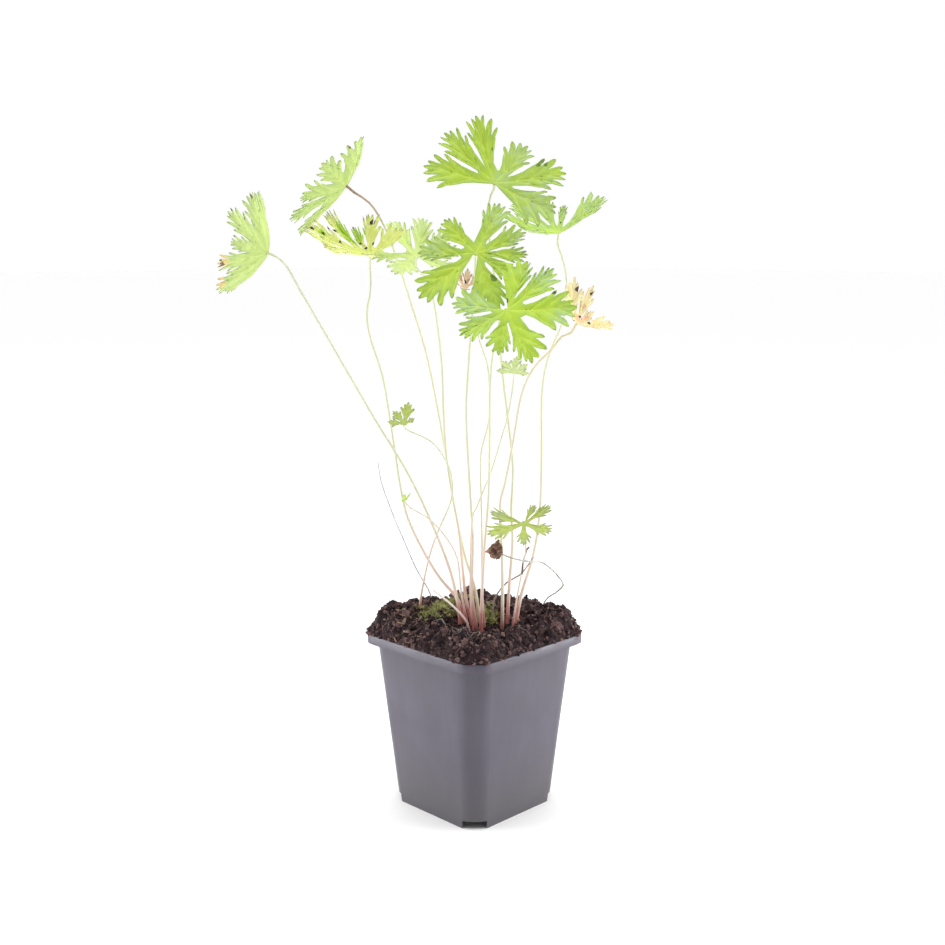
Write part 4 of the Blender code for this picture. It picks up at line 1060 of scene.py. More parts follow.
def fine_lift(plan, x, y, wave, shift):
    """Height of a blade with its folds, creases and waves, in millimetres."""
    lobe = face_lobe(plan, x, y)
    along, across = on_lobe(lobe, x, y)
    reach = math.hypot(x, y) / lobe["length"]
    fold = FOLD * abs(across) * lobe["length"] * ease(reach * 2.0)
    near_vein = math.exp(-((vein_distance(lobe, along, across) / CREASE_WIDTH) ** 2))
    crease = -QUILT * near_vein * ease(reach * 3.0)
    slow = noise.noise(Vector((x, y, shift)) / SLOW_WAVE) * wave * ease(reach * 1.2)
    quick = noise.noise(Vector((x, y, shift + 9.0)) / QUICK_WAVE) * wave * QUICK_SHARE * ease(reach * 1.4)
    return base_lift(plan, x, y) + fold + crease + slow + quick


print("top leaf tip", round(base_lift(lobe_plan(LEAVES["top"])[0], 0.0, 38.0), 2))

# %% Marks, cuts and tips
CELL, SMALL_CELL = 1.15, 0.6        # spacing of the cuts in millimetres, and a small leaf's share of it
CUT_SHIFT, CUT_MERGE = 0.37, 0.02   # the cuts stay off the middle, and merge with what is this near
SMALL_BLADE = 20.0                  # millimetres: the longest lobe of a small leaf
TIP_ANGLE, TIP_REACH = math.radians(75.0), 2
MARKS = {"stain": 0.35, "dry": 0.35, "grey": 0.80}     # how soft each border is, against its radius


def mark_value(marks, soft, x, y):
    """How strongly a place is marked: 1 inside a mark, falling to 0 outside."""
    value = 0.0
    for mark_x, mark_y, radius in marks:
        away = math.hypot(x - mark_x, y - mark_y) / radius
        value = max(value, 1.0 - ease((away - 1.0 + soft) / (2.0 * soft)))
    return value


def cut_cells(bm, reach):
    """Cut a flat sheet by two sets of planes so that it can bend."""
    cell = CELL if reach > SMALL_BLADE else CELL * SMALL_CELL
    cuts = int(reach / cell) + 1
    for axis in (Vector((1.0, 0.0, 0.0)), Vector((0.0, 1.0, 0.0))):
        for k in range(-cuts, cuts + 1):
            bmesh.ops.bisect_plane(bm, geom=bm.verts[:] + bm.edges[:] + bm.faces[:], dist=CUT_MERGE,
                                   plane_co=axis * (k + CUT_SHIFT) * cell, plane_no=axis)


def tree_of(places):
    """A search tree of places in the blade's plane."""
    tree = kdtree.KDTree(len(places))
    for k, (x, y) in enumerate(places):
        tree.insert((x, y, 0.0), k)
    tree.balance()
    return tree


def tooth_tips(plan, edge):
    """The ends of the lobes, and the places where the edge turns back sharply at a tooth's tip."""
    tips = [Matrix.Rotation(math.radians(lobe["heading"]), 2) @ Vector((lobe["length"], 0.0))
            for lobe in plan]
    for k, here in enumerate(edge):
        back, on = (Vector(edge[(k + step) % len(edge)]) - Vector(here) for step in (-TIP_REACH, TIP_REACH))
        if back.angle(on) < TIP_ANGLE and back.cross(on) < 0.0:
            tips.append(here)
    return tips


print("ends of the top leaf's lobes and teeth", len(tooth_tips(*blade_edge("top", LEAVES["top"]))))

# %% Building a blade
WAVE = {"pale": 1.6, "washed": 1.8, "spotted": 2.6, "green": 1.6, "fresh": 1.6, "young": 2.0,
        "yellowed": 3.6, "withered": 3.4, "straw": 2.0}     # in millimetres
FULL_WAVE = 30.0                    # millimetres: blades with shorter lobes wave less


def flat_sheet(edge, reach):
    """The blade as a flat sheet of small triangles that face upwards."""
    bm = bmesh.new()
    sheet = bm.faces.new([bm.verts.new((x, y, 0.0)) for x, y in edge])
    sheet.normal_update()
    bmesh.ops.triangulate(bm, faces=[sheet], ngon_method="EAR_CLIP")
    cut_cells(bm, reach)
    bmesh.ops.triangulate(bm, faces=bm.faces, quad_method="BEAUTY", ngon_method="BEAUTY")
    for face in bm.faces:
        if face.normal.z < 0.0:
            face.normal_flip()
    return bm


def note_places(bm, leaf, plan, edge):
    """Store each vertex's distances and marks, and where each face lies on its lobe."""
    uv_layer = bm.loops.layers.uv.new("lobe")
    layers = {key: bm.verts.layers.float.new(key) for key in ("edge_mm", "tip_mm", *MARKS)}
    border = tree_of([vert.co.xy for vert in bm.verts if any(e.is_boundary for e in vert.link_edges)])
    tips = tree_of(tooth_tips(plan, edge))
    for vert in bm.verts:
        vert[layers["edge_mm"]] = border.find(vert.co)[2]
        vert[layers["tip_mm"]] = tips.find(vert.co)[2]
        for key, soft in MARKS.items():
            vert[layers[key]] = mark_value(leaf.get(key, ()), soft, vert.co.x, vert.co.y)
    for face in bm.faces:
        middle = face.calc_center_median()
        lobe = face_lobe(plan, middle.x, middle.y)
        for loop in face.loops:
            loop[uv_layer].uv = on_lobe(lobe, loop.vert.co.x, loop.vert.co.y)


def leaf_axes(face):
    """The blade's own axes as a matrix: level, up the blade, and out of its upper side."""
    out = Vector(face).normalized()
    level = Vector((0.0, 0.0, 1.0)).cross(out).normalized()
    return Matrix((level, out.cross(level), out)).transposed().to_4x4()


def blade_mesh(name, leaf):
    """The blade's sheet, bent, with its UV map, its tips and its marks."""
    plan, edge = blade_edge(name, leaf)
    longest = max(lobe["length"] for lobe in plan)
    bm = flat_sheet(edge, longest)
    note_places(bm, leaf, plan, edge)
    wave = WAVE[leaf["tissue"]] * min(1.0, longest / FULL_WAVE)
    shift = random.Random(name).uniform(0.0, 90.0)
    for vert in bm.verts:
        vert.co.z = fine_lift(plan, vert.co.x, vert.co.y, wave, shift)
    bmesh.ops.scale(bm, verts=bm.verts, vec=(MM, MM, MM))
    place = TO_PLANT @ Matrix.Translation(Vector(leaf["at"]) * MM) @ leaf_axes(leaf["face"])
    return mesh_from(bm, "blade_" + name, place, outward=False)


print("the top leaf's upper side points", [round(c, 2) for c in leaf_axes(LEAVES["top"]["face"]).col[2]])

# %% [markdown]
# A living blade is bright where light comes through it, greyer towards its edge and at the tips of its
# teeth, and paler along its veins. The veins are lines on the lobe's own UV map: the midrib is where
# the place across is zero, and each side vein is a line from the midrib to a finger's tip. A dot
# product with the line's own numbers gives the distance to it. Distances to the edge and to the
# nearest tip were stored at the vertices. The underside is a second material, duller and paler.

# %% The tissue's material
VEIN_WIDTH = 0.011                  # half a vein's width against the lobe's length: about 0.35 mm
VEIN_SHOULDER = 0.060               # how far the lighter tissue reaches beside a vein


def tissue_material(name, centre, edge, vein, tip, dry, stain, sheen_tint, rough):
    """Leaf tissue, grown. The eye gets a soft quilted green with fine pale veins and a hairy dullness."""
    made, tree, shader = new_material(name, Specular_IOR_Level=0.35)
    place = add(tree, "TexCoord", out="Object")
    # Distance to the nearest vein: the map's Y is folded so that both halves of a lobe share lines
    parts = add(tree, "SeparateXYZ", {0: add(tree, "UVMap", uv_map="lobe")}).node.outputs
    across = add(tree, "Math", {0: parts["Y"]}, operation="ABSOLUTE")
    folded = add(tree, "CombineXYZ", {0: parts["X"], 1: across, 2: 1.0})
    nearest = across
    for line in VEINS[1:]:
        away = add(tree, "VectorMath", {0: folded, 1: line}, out="Value", operation="DOT_PRODUCT")
        away = add(tree, "Math", {0: away}, operation="ABSOLUTE")
        nearest = add(tree, "Math", {0: nearest, 1: away}, operation="MINIMUM")
    veins = {0: nearest, 1: VEIN_WIDTH * 0.3, 2: VEIN_WIDTH * 1.6, 3: 1.0, 4: 0.0}
    veins = add(tree, "MapRange", veins, **SMOOTH)
    # Greyer towards the edge and the ends of the lobes, in patches about 7 mm wide
    to_edge, to_tip, stained, dried, sheen_mark = (
        add(tree, "Attribute", out="Fac", attribute_name=key) for key in ("edge_mm", "tip_mm", *MARKS))
    rim = add(tree, "MapRange", {0: to_edge, 1: 0.0, 2: 3.4, 3: 1.0, 4: 0.0}, **SMOOTH)
    outer = add(tree, "MapRange", {0: parts["X"], 1: 0.40, 2: 1.05}, **SMOOTH)
    edged = add(tree, "Math", {0: outer, 1: rim}, operation="MAXIMUM")
    patches = add(tree, "TexNoise", {"Vector": place, "Scale": per(7.0), "Detail": 3.0})
    patches = add(tree, "MapRange", {0: patches, 1: 0.3, 2: 0.7, 3: 0.35, 4: 1.0}, **SMOOTH)
    edged = add(tree, "Math", {0: edged, 1: patches}, operation="MULTIPLY")
    colour = add(tree, "Mix", {0: edged, 6: linear(centre), 7: linear(edge)}, **COLOURS)
    between = add(tree, "MapRange", {0: nearest, 1: VEIN_WIDTH, 2: VEIN_SHOULDER, 3: 0.0, 4: 0.35}, **SMOOTH)
    colour = add(tree, "Mix", {0: between, 6: colour, 7: linear(edge)}, **COLOURS)
    # Cells and hairs: specks about 0.8 mm wide, coarser than real hairs so that they show
    colour = cover(tree, place, colour, edge, 0.8, (0.35, 0.70), 2.0, (0.0, 0.30))
    # The grey marks paint the sheen of light on thick silky hairs as a streaked greyer green; on pale tissue
    # they paint a darker green
    streaked = add(tree, "TexNoise", {"Vector": place, "Scale": per(2.0), "Detail": 3.0})
    streaked = add(tree, "MapRange", {0: streaked, 1: 0.35, 2: 0.65, 3: 0.15, 4: 0.85}, **SMOOTH)
    sheen_mark = add(tree, "Math", {0: sheen_mark, 1: streaked}, operation="MULTIPLY")
    colour = add(tree, "Mix", {0: sheen_mark, 6: colour, 7: linear(sheen_tint)}, **COLOURS)
    faint = add(tree, "Math", {0: veins, 1: 0.45}, operation="MULTIPLY")
    colour = add(tree, "Mix", {0: faint, 6: colour, 7: linear(vein)}, **COLOURS)
    tipped = add(tree, "MapRange", {0: to_tip, 1: 0.2, 2: 1.9, 3: 0.85, 4: 0.0}, **SMOOTH)
    colour = add(tree, "Mix", {0: tipped, 6: colour, 7: linear(tip)}, **COLOURS)
    # Dry patches and dark stains, whose borders are frayed by noise
    fray = add(tree, "TexNoise", {"Vector": place, "Scale": per(1.4), "Detail": 3.0})
    fray = add(tree, "Math", {0: fray, 1: -0.5}, operation="ADD")
    for mark, tint, low in ((dried, dry, 0.35), (stained, stain, 0.40)):
        mark = add(tree, "Math", {0: mark, 1: fray}, operation="ADD")
        mark = add(tree, "MapRange", {0: mark, 1: low, 2: low + 0.2}, **SMOOTH)
        colour = add(tree, "Mix", {0: mark, 6: colour, 7: linear(tint)}, **COLOURS)
    # The pebbled skin between the veins, with the veins sunk into it
    pebbled = add(tree, "TexNoise", {"Vector": place, "Scale": per(1.0), "Detail": 2.0})
    raised = add(tree, "Math", {0: pebbled, 1: veins}, operation="SUBTRACT")
    finish_surface(tree, shader, colour, pebbled, rough, 0.35, 0.00025, raised)
    return made


print("a lobe 32 mm long has veins", round(2 * VEIN_WIDTH * 32, 2), "mm wide")

# %% The tissues' colours
# Upper side and underside of each kind: centre, edge, vein, tip, dry patch, stain, and the grey marks' tint,
# a painted sheen of the hairs
TISSUES = {
    "green": (("#B6D230", "#98B94E", "#CEE070", "#76905C", "#C9C276", "#64801F", "#A9C48A"),
              ("#B8D276", "#9CBC78", "#CADD9E", "#829C70", "#C9C28A", "#6E8440", "#A8C28E")),
    "fresh": (("#B9D830", "#9DC14A", "#D0E46C", "#829E60", "#D2CC80", "#3F4C22", "#A6C494"),
              ("#BEDA7A", "#A8C67A", "#D2E49E", "#92AE78", "#CFC890", "#5E6B3A", "#AAC59C")),
    "young": (("#B8CC4A", "#AEBD6C", "#D4DD8C", "#98A17A", "#D2CC80", "#6E7A44", "#BAC896"),
              ("#C2CF80", "#BAC58C", "#DCE1AC", "#A4AB88", "#CFC890", "#6E7A44", "#C0CC9C")),
    "pale": (("#B3CC54", "#A5BE6C", "#CEE08A", "#879C66", "#D6C272", "#6E5A44", "#96B860"),
             ("#BCD274", "#AEC47C", "#D2E29A", "#93A874", "#D8C884", "#7A664C", "#A4C070")),
    "washed": (("#CDE078", "#C6D894", "#E0EEAA", "#9CB080", "#D8C26C", "#6E5A44", "#D4E2B4"),
               ("#D2E28C", "#C8DA98", "#E2EEB4", "#A4B688", "#DCCB80", "#7A664C", "#D4E2B4")),
    "spotted": (("#D2DC66", "#D4DC7C", "#E6EA9C", "#9FA262", "#A6CA3A", "#33291F", "#DCE2A8"),
                ("#DAE28A", "#DCE298", "#EAEEB4", "#B0B070", "#A8CC4E", "#4A3A30", "#DCE2A8")),
    "yellowed": (("#DFCF8C", "#E2D7A4", "#EEE3BA", "#CEB482", "#E4B68C", "#4A3823", "#E6DEB2"),
                 ("#E4D39C", "#E8DDB2", "#F0E6C2", "#D2B88E", "#E0AC80", "#4A3823", "#EDE6BC")),
    "withered": (("#EACAB4", "#DDB89E", "#F0DCC8", "#98705A", "#C08C6C", "#4A3428", "#E0C0A6"),
                 ("#DEBCA6", "#D2AC94", "#E6D0B8", "#98705A", "#C08C6C", "#4A3428", "#E0C0A6")),
    "straw": (("#D6E49A", "#CCD99A", "#E6EEBC", "#A2AA80", "#C8BC8A", "#7C7458", "#D6DFB0"),
              ("#D9E3A4", "#CFD9A2", "#E7EDC2", "#A4AC86", "#C8BC8A", "#7C7458", "#D6DFB0")),
}
SIDES = (("upper side", (0.44, 0.56)), ("underside", (0.56, 0.68)))     # and how rough each is
TISSUE_SIDES = {
    key: [tissue_material("Leaf blade, " + key + ", " + side, *tints, rough)
          for tints, (side, rough) in zip(both, SIDES)]
    for key, both in TISSUES.items()
}
print("tissues", len(TISSUE_SIDES))

# %% All the blades
BLADE_THICK = 0.00034

for leaf_name, leaf in LEAVES.items():
    blade = finish_piece("leaf_blade_" + leaf_name, blade_mesh(leaf_name, leaf),
                         TISSUE_SIDES[leaf["tissue"]], ["blade_" + leaf_name])
    body = blade.modifiers.new("Thickness", "SOLIDIFY")
    body.thickness, body.offset = BLADE_THICK, 0.0
    body.material_offset = 1
    print(leaf_name, len(blade.data.polygons), "faces")

# %% [markdown]
# A leaf stalk is a long round stem that thins towards the blade and swells a little into a knee where
# it meets it. A curve with a round bevel is the natural tool: its route is a smooth run through a few
# places, its radius changes from point to point, and its ends are closed. A stalk stands in a crown or
# straight in the soil, and its foot starts below that surface so that no gap can show.

# %% Routes and stalks
STALK_STEP = 0.004                  # spacing of a stalk's points
KNEE_FROM, KNEE_LENGTH = 0.97, 0.02     # parts of the stalk's length
STALK_FOOT, STEM_FOOT, CROWN_TOP = 0.0060, 0.0080, 0.1000   # depth in a crown, depth in soil, a crown's top
STALK_STRAIGHT, STEM_STRAIGHT, SHOOT_STRAIGHT = 0.0020, 0.0015, 0.0010  # upright above the surface
ARRIVAL = 6.0                       # a stalk's last millimetres run straight into the blade
CROWNS = {"crown_left": ((-1.6, -14.5), (9.6, 7.4)), "crown_right": ((18.6, -14.6), (7.0, 6.4))}


def smooth_route(points):
    """Points along one smooth curve through the route's own points."""
    ends = [2 * points[0] - points[1]] + points + [2 * points[-1] - points[-2]]
    run = []
    for before, start, stop, after in zip(ends, ends[1:], ends[2:], ends[3:]):
        pieces = max(1, round((stop - start).length / STALK_STEP))
        for k in range(pieces):
            t = k / pieces
            run.append(0.5 * (2 * start + (stop - before) * t
                              + (2 * before - 5 * start + 4 * stop - after) * t * t
                              + (3 * start - before - 3 * stop + after) * t ** 3))
    return run + [points[-1]]


def stem_curve(name, points, radii, sides=3, knee=1.0):
    """A round stem along a route, in the world's frame."""
    run = smooth_route([TO_PLANT @ point for point in points])
    curve = round_curve(name, radii[0], sides)
    widths = []
    for k in range(len(run)):
        part = k / (len(run) - 1)
        swell = 1.0 + (knee - 1.0) * ease((part - KNEE_FROM) / KNEE_LENGTH)
        widths.append((1.0 + part ** 0.5 * (radii[1] / radii[0] - 1.0)) * swell)
    add_run(curve, run, widths).use_smooth = True
    return curve


def near_crown(across, back):
    """Whether a foot stands in one of the crowns."""
    return any(((across - x) / wide) ** 2 + ((back - y) / deep) ** 2 < 1.0
               for (x, y), (wide, deep) in CROWNS.values())


def soil_at(across, back):
    """Height of the soil at a place in the corner-on frame."""
    place = from_corner_on(across, back)
    return soil_form(place.x, place.y)[0]


def rising_route(foot, route, straight):
    """A route in metres: from a foot below the crown or soil, straight up until a little above, and on."""
    across, back = foot
    depth = STALK_FOOT if near_crown(across, back) else STEM_FOOT
    surface = CROWN_TOP if near_crown(across, back) else soil_at(across, back)
    start = Vector((across * MM, back * MM, surface - depth))
    above = start + Vector((0.0, 0.0, depth + straight))
    return [start, above] + [Vector(place) * MM for place in route]


def stalk_points(leaf):
    """The stalk's route from its foot to the blade."""
    meet = Vector(leaf["at"]) * MM
    out = Vector(leaf["face"]).normalized()
    return rising_route(leaf["foot"], leaf["route"], STALK_STRAIGHT) + [meet - out * ARRIVAL * MM, meet]


print("soil beside the left crown", round(soil_at(-20.0, -14.0), 4))

# %% [markdown]
# The stalks are pink-red near the soil, where the light reaches the pigment, and fade to a pale
# yellow-green above. The height above the ground decides it, with a little noise so that no two
# stalks turn at the same place. The skin is smooth and slightly waxy.

# %% The stalk's materials
def stalk_material(name, foot, middle, top, turn_at, fade_to, upper):
    """Stalk skin, grown. The eye gets a slightly waxy stem, red at its foot and pale green above."""
    made, tree, shader = new_material(name, Specular_IOR_Level=0.4)
    place = add(tree, "TexCoord", out="Object")
    level = add(tree, "SeparateXYZ", {0: place}, out="Z")
    drift = add(tree, "TexNoise", {"Vector": place, "Scale": per(9.0)})
    drift = add(tree, "Math", {0: drift, 1: 0.030, 2: -0.015}, operation="MULTIPLY_ADD")
    moved = add(tree, "Math", {0: level, 1: drift}, operation="ADD")
    turned = add(tree, "MapRange", {0: moved, 1: turn_at, 2: fade_to}, **SMOOTH)
    colour = add(tree, "Mix", {0: turned, 6: linear(foot), 7: linear(middle)}, **COLOURS)
    above = add(tree, "MapRange", {0: moved, 1: upper[0], 2: upper[1]}, **SMOOTH)
    colour = add(tree, "Mix", {0: above, 6: colour, 7: linear(top)}, **COLOURS)
    # Ribs: streaks 0.4 mm wide that run up the stalk, drawn a little wider than real ones
    ribs = add(tree, "Mapping", {"Vector": place, "Scale": (1.0, 1.0, 0.06)})
    ribs = add(tree, "TexNoise", {"Vector": ribs, "Scale": per(0.4), "Detail": 2.0})
    faint = add(tree, "MapRange", {0: ribs, 1: 0.3, 2: 0.7, 4: 0.25}, **SMOOTH)
    colour = add(tree, "Mix", {0: faint, 6: colour, 7: linear(middle)}, **COLOURS)
    finish_surface(tree, shader, colour, ribs, (0.40, 0.50), 0.3, 0.0001)
    return made


print("ribs repeat about", per(0.4) * MM, "times in a millimetre")

# %% All the stalks
FOOT_RADIUS, TIP_RADIUS = 0.00106, 0.00056
KNEE, SLIM, SMALL_LEAF = 1.35, 0.7, 25.0    # a leaf whose lobes are shorter than 25 mm has a slim stalk
STALK_RED, SOIL_LEVEL = "#B4605E", 0.0990
STALK_SKIN = stalk_material("Leaf stalk skin", STALK_RED, "#E2CCBE", "#D4D9BA",
                            SOIL_LEVEL, 0.123, (0.124, 0.185))
SKINS = {
    "upper_left": stalk_material("Leaf stalk skin, russet", STALK_RED, "#DAD8BE", "#94685E",
                                 SOIL_LEVEL, 0.121, (0.300, 0.335)),
    "yellowed": stalk_material("Leaf stalk skin, drying", STALK_RED, "#DAD4BC", "#DCCAA8",
                               SOIL_LEVEL, 0.121, (0.225, 0.262)),
}

for leaf_name, leaf in LEAVES.items():
    slim = SLIM if max(lobe[1] for lobe in leaf["lobes"]) < SMALL_LEAF else 1.0
    curve = stem_curve("leaf_stalk_" + leaf_name, stalk_points(leaf),
                       (FOOT_RADIUS * slim, TIP_RADIUS * slim), knee=KNEE)
    finish_piece("leaf_stalk_" + leaf_name, curve, [SKINS.get(leaf_name, STALK_SKIN)],
                 ["stalk_" + leaf_name])
print("stalks", len(LEAVES))

# %% [markdown]
# Three dry stems stand in the soil by themselves, and a bare pink shoot leans out of the left crown.
# They are made like the stalks, with their own skins. So is a shrivelled sheath that stands off the
# low leaf's stalk, only that it has no foot in the soil.

# %% Loose stems
STEMS = {
    "stem_dead_grey": dict(
        foot=(-24.2, 22), route=((-25.5, 21.8, 112), (-32.4, 21.5, 124.4), (-38.3, 21.2, 138.7),
                                 (-44.2, 20.8, 153.4), (-50.6, 20.3, 172), (-52.5, 20, 184)),
        radii=(0.48, 0.36),
    ),
    "stem_dry_bent": dict(
        foot=(37.5, 19), route=((40.3, 16, 109), (43.9, 9, 113.5), (47.8, 2, 120), (45.2, -1, 125),
                                (41.2, -6, 130.5), (35.2, -14, 136.5), (29.5, -24, 139.3),
                                (21.5, -31, 142.3), (16.0, -34, 144.8), (13.2, -34.2, 146.4)),
        radii=(0.42, 0.46),
    ),
    "thread_dry": dict(
        foot=(9.8, -3.5), route=((10.5, -3.8, 113), (14, -4, 119.5), (17.5, -4.8, 123.5),
                                 (23.7, -8, 128), (27.3, -11, 133), (30.8, -13, 139)),
        radii=(0.55, 0.40),
    ),
}
SHEATH = dict(route=((24.5, -23.3, 132.5), (24.8, -23.7, 137.1), (25.5, -24.0, 141.2),
                     (26.7, -24.4, 145.6), (28.0, -24.6, 147.3)), radii=(0.62, 0.50))
SHOOT = dict(foot=(-3.0, -18.2), route=((-4.0, -18.4, 105.5), (-7.6, -17.4, 110), (-13.5, -14.5, 115),
                                        (-19, -11.5, 118.5), (-22, -10, 120.5)), radii=(0.80, 0.50))
DEAD_STEM = {
    "stem_dead_grey": dry_fibre("Dead stem, weathered", "#B2AFB8", "#CCC9CC"),
    "stem_dry_bent": dry_fibre("Dead stem, brown", "#9A9A8E", "#C6C2C2"),
    "thread_dry": dry_fibre("Dead stem, thread", "#857A72", "#ADA298"),
}
SHEATH_SKIN = dry_fibre("Leaf sheath, shrivelled", "#6A5048", "#967C70")
SHOOT_SKIN = stalk_material("Side shoot skin", "#E2B0AA", "#F2E0D8", "#E6E2CC", 0.098, 0.110, (0.114, 0.121))


def loose_stem(name, points, radii_mm, skin, replaced=(), sides=3):
    """A stem of its own as a finished piece."""
    curve = stem_curve(name, points, [radius * MM for radius in radii_mm], sides)
    return finish_piece(name, curve, [skin], replaced)


for stem_name, stem in STEMS.items():
    loose_stem("dead_" + stem_name, rising_route(stem["foot"], stem["route"], STEM_STRAIGHT),
               stem["radii"], DEAD_STEM[stem_name], [stem_name], 2)
loose_stem("side_shoot", rising_route(SHOOT["foot"], SHOOT["route"], SHOOT_STRAIGHT), SHOOT["radii"],
           SHOOT_SKIN, ["stub_pink"])
loose_stem("dry_sheath", [Vector(place) * MM for place in SHEATH["route"]], SHEATH["radii"],
           SHEATH_SKIN, sides=1)
print("loose stems", len(STEMS) + 2)

# %% [markdown]
# A cranesbill's rootstock is a short knobbly stump wrapped in the scales of old leaf stalks. It is
# low and mostly covered. A sphere squashed to the crown's size and pushed out by noise makes the
# stump, and flattened cones of six sides around it make the scales.

# %% Crowns
CROWN_RISE, CROWN_FORM = 0.0062, (0.92, 0.16)   # half its height, its plain part and how far noise moves it
SCALE_COUNT, SCALE_LENGTH, SCALE_ENDS = 26, (3.0, 5.5), (0.0016, 0.0002)
SCALE_OUT, SCALE_TILT, SCALE_UP = (0.55, 0.9), (0.2, 0.8), 0.002
SCALE_FLAT = Matrix.Diagonal((0.5, 1.3, 1.0, 1.0))
BRITTLE_ROUGH = (0.72, 0.88)        # bark and dead leaf


def crown_mesh(centre, half, seed):
    """One rootstock with its scales."""
    draw = random.Random(seed)
    bm = bmesh.new()
    bmesh.ops.create_icosphere(bm, subdivisions=4, radius=1.0)
    for vert in bm.verts:
        way = vert.co.normalized()
        vert.co = way * (CROWN_FORM[0] + CROWN_FORM[1] * noise.noise(way * 3.0 + Vector((seed, 0, 0))))
    bmesh.ops.scale(bm, verts=bm.verts, vec=(half[0] * MM, half[1] * MM, CROWN_RISE))
    for k in range(SCALE_COUNT):
        turn = math.tau * k / SCALE_COUNT + draw.uniform(-0.1, 0.1)
        out = draw.uniform(*SCALE_OUT)
        length = draw.uniform(*SCALE_LENGTH) * MM
        foot = Vector((half[0] * math.cos(turn), half[1] * math.sin(turn), 0.0)) * out * MM
        place = Matrix.Translation(foot + Vector((0.0, 0.0, SCALE_UP)))
        tilt = Matrix.Rotation(turn, 4, "Z") @ Matrix.Rotation(draw.uniform(*SCALE_TILT), 4, "Y")
        bmesh.ops.create_cone(bm, cap_ends=True, segments=6, radius1=SCALE_ENDS[0], radius2=SCALE_ENDS[1],
                              depth=length,
                              matrix=place @ tilt @ SCALE_FLAT @ Matrix.Translation((0, 0, length / 2)))
    middle = Vector((centre[0] * MM, centre[1] * MM, CROWN_TOP - CROWN_RISE))
    return mesh_from(bm, "crown", TO_PLANT @ Matrix.Translation(middle), sharp=45)


def crown_material():
    """Rootstock bark, grown. The eye gets dull red-brown scales with dark gaps."""
    return dry_surface("Rootstock bark", "#42211F", "#9A5852", (1.8, (0.35, 0.65), 4.0), (0.8, 3.0),
                       BRITTLE_ROUGH, (0.8, 0.0004))


CROWN_BARK = crown_material()
for seed, (crown_name, (centre, half)) in enumerate(CROWNS.items()):
    finish_piece("rootstock_" + crown_name, crown_mesh(centre, half, seed + 1), [CROWN_BARK],
                 [crown_name])
print("crowns", len(CROWNS))

# %% [markdown]
# At the end of the bent stem hangs a leaf that has dried into a crumpled ball with a few points. A
# sphere is folded by layers of noise, and it is drawn out to a point where a lobe's end sticks out.

# %% The dried clump
CLUMP_AT, CLUMP_HALF, CLUMP_PLAIN = (10.8, -34.2, 147.6), (3.9, 3.7, 4.2), 0.84
# Folds, creases and two finer layers: how deep each is against the clump's size, and how fine
FOLDS, CREASES, WRINKLES = (0.22, 1.9), (0.42, 3.4), ((0.16, 8.0), (0.06, 17.0))
FOLDS_AWAY, CREASES_AWAY = Vector((3.1, 0.4, 1.7)), Vector((8.0, 0.0, 2.0))     # where in the noise
# Each point of the clump: its direction, how far it stands out, and how wide it is in radians
POINTS = (((0.22, 0.0, 1.0), 0.85, 0.50), ((-1.0, 0.1, -0.15), 0.60, 0.34),
          ((-0.70, -0.3, 0.75), 0.22, 0.30), ((0.9, 0.1, -0.45), 0.25, 0.35), ((-0.2, 0.1, -1.0), 0.35, 0.50),
          ((-0.75, -0.1, -0.75), 0.32, 0.26), ((0.5, -0.4, -0.8), 0.30, 0.26), ((0.2, -1.0, 0.1), 0.25, 0.45))


def clump_mesh():
    """The crumpled leaf."""
    bm = bmesh.new()
    bmesh.ops.create_icosphere(bm, subdivisions=6, radius=1.0)
    points = [(Vector(way).normalized(), out, wide) for way, out, wide in POINTS]
    for vert in bm.verts:
        way = vert.co.normalized()
        folds = FOLDS[0] * noise.noise(way * FOLDS[1] + FOLDS_AWAY)
        creases = CREASES[0] * abs(noise.noise(way * CREASES[1] + CREASES_AWAY))
        drawn = sum(out * math.exp(-way.angle(point) / wide * 1.6) for point, out, wide in points)
        fine = sum(deep * noise.noise(way * fineness) for deep, fineness in WRINKLES)
        vert.co = way * (CLUMP_PLAIN + folds - creases + drawn + fine)
    bmesh.ops.scale(bm, verts=bm.verts, vec=Vector(CLUMP_HALF) * MM)
    return mesh_from(bm, "clump", TO_PLANT @ Matrix.Translation(Vector(CLUMP_AT) * MM), sharp=40)


def clump_material():
    """Dead leaf, shrivelled. The eye gets brittle dark folds with paler worn ridges."""
    return dry_surface("Dead leaf, crumpled", "#4A322C", "#9C7864", (2.2, (0.35, 0.62), 4.0), (0.9, 3.0),
                       BRITTLE_ROUGH, (0.9, 0.0005))


clump = finish_piece("dried_leaf_clump", clump_mesh(), [clump_material()], ["clump_dry"])
print("clump faces", len(clump.data.polygons))

# %% [markdown]
# Stalks and blades are covered with fine silky hairs. They are too thin to see one by one, but they
# soften every outline and make the stalks look pale against the light. A hair is a cone of three
# sides. On a stalk it grows at a random place and leans a little downwards, and on a blade it grows
# from the edge and points away from the leaf. Real hairs are half as thick and far more numerous.

# %% Hairs on the stalks and the blades' edges
STALK_HAIRS, EDGE_HAIR_SHARE = 4200, 0.45
STALK_HAIR_LENGTH, EDGE_HAIR_LENGTH = (0.7, 1.5), (0.5, 1.0)
HAIR_RADIUS = 0.035
BARE_FOOT = 0.010                   # how far above the rim a stalk's hairs begin
LEAN_DOWN, STRAY = (0.0, 0.6), (-0.5, 0.5)


def add_hair(bm, place, way, length):
    """One hair: a thin cone that stands on a place."""
    turn = way.to_track_quat("Z", "Y").to_matrix().to_4x4()
    radius = HAIR_RADIUS * MM
    middle = Matrix.Translation((0.0, 0.0, length / 2))
    bmesh.ops.create_cone(bm, cap_ends=True, segments=3, radius1=radius, radius2=0.0, depth=length,
                          matrix=Matrix.Translation(place) @ turn @ middle)


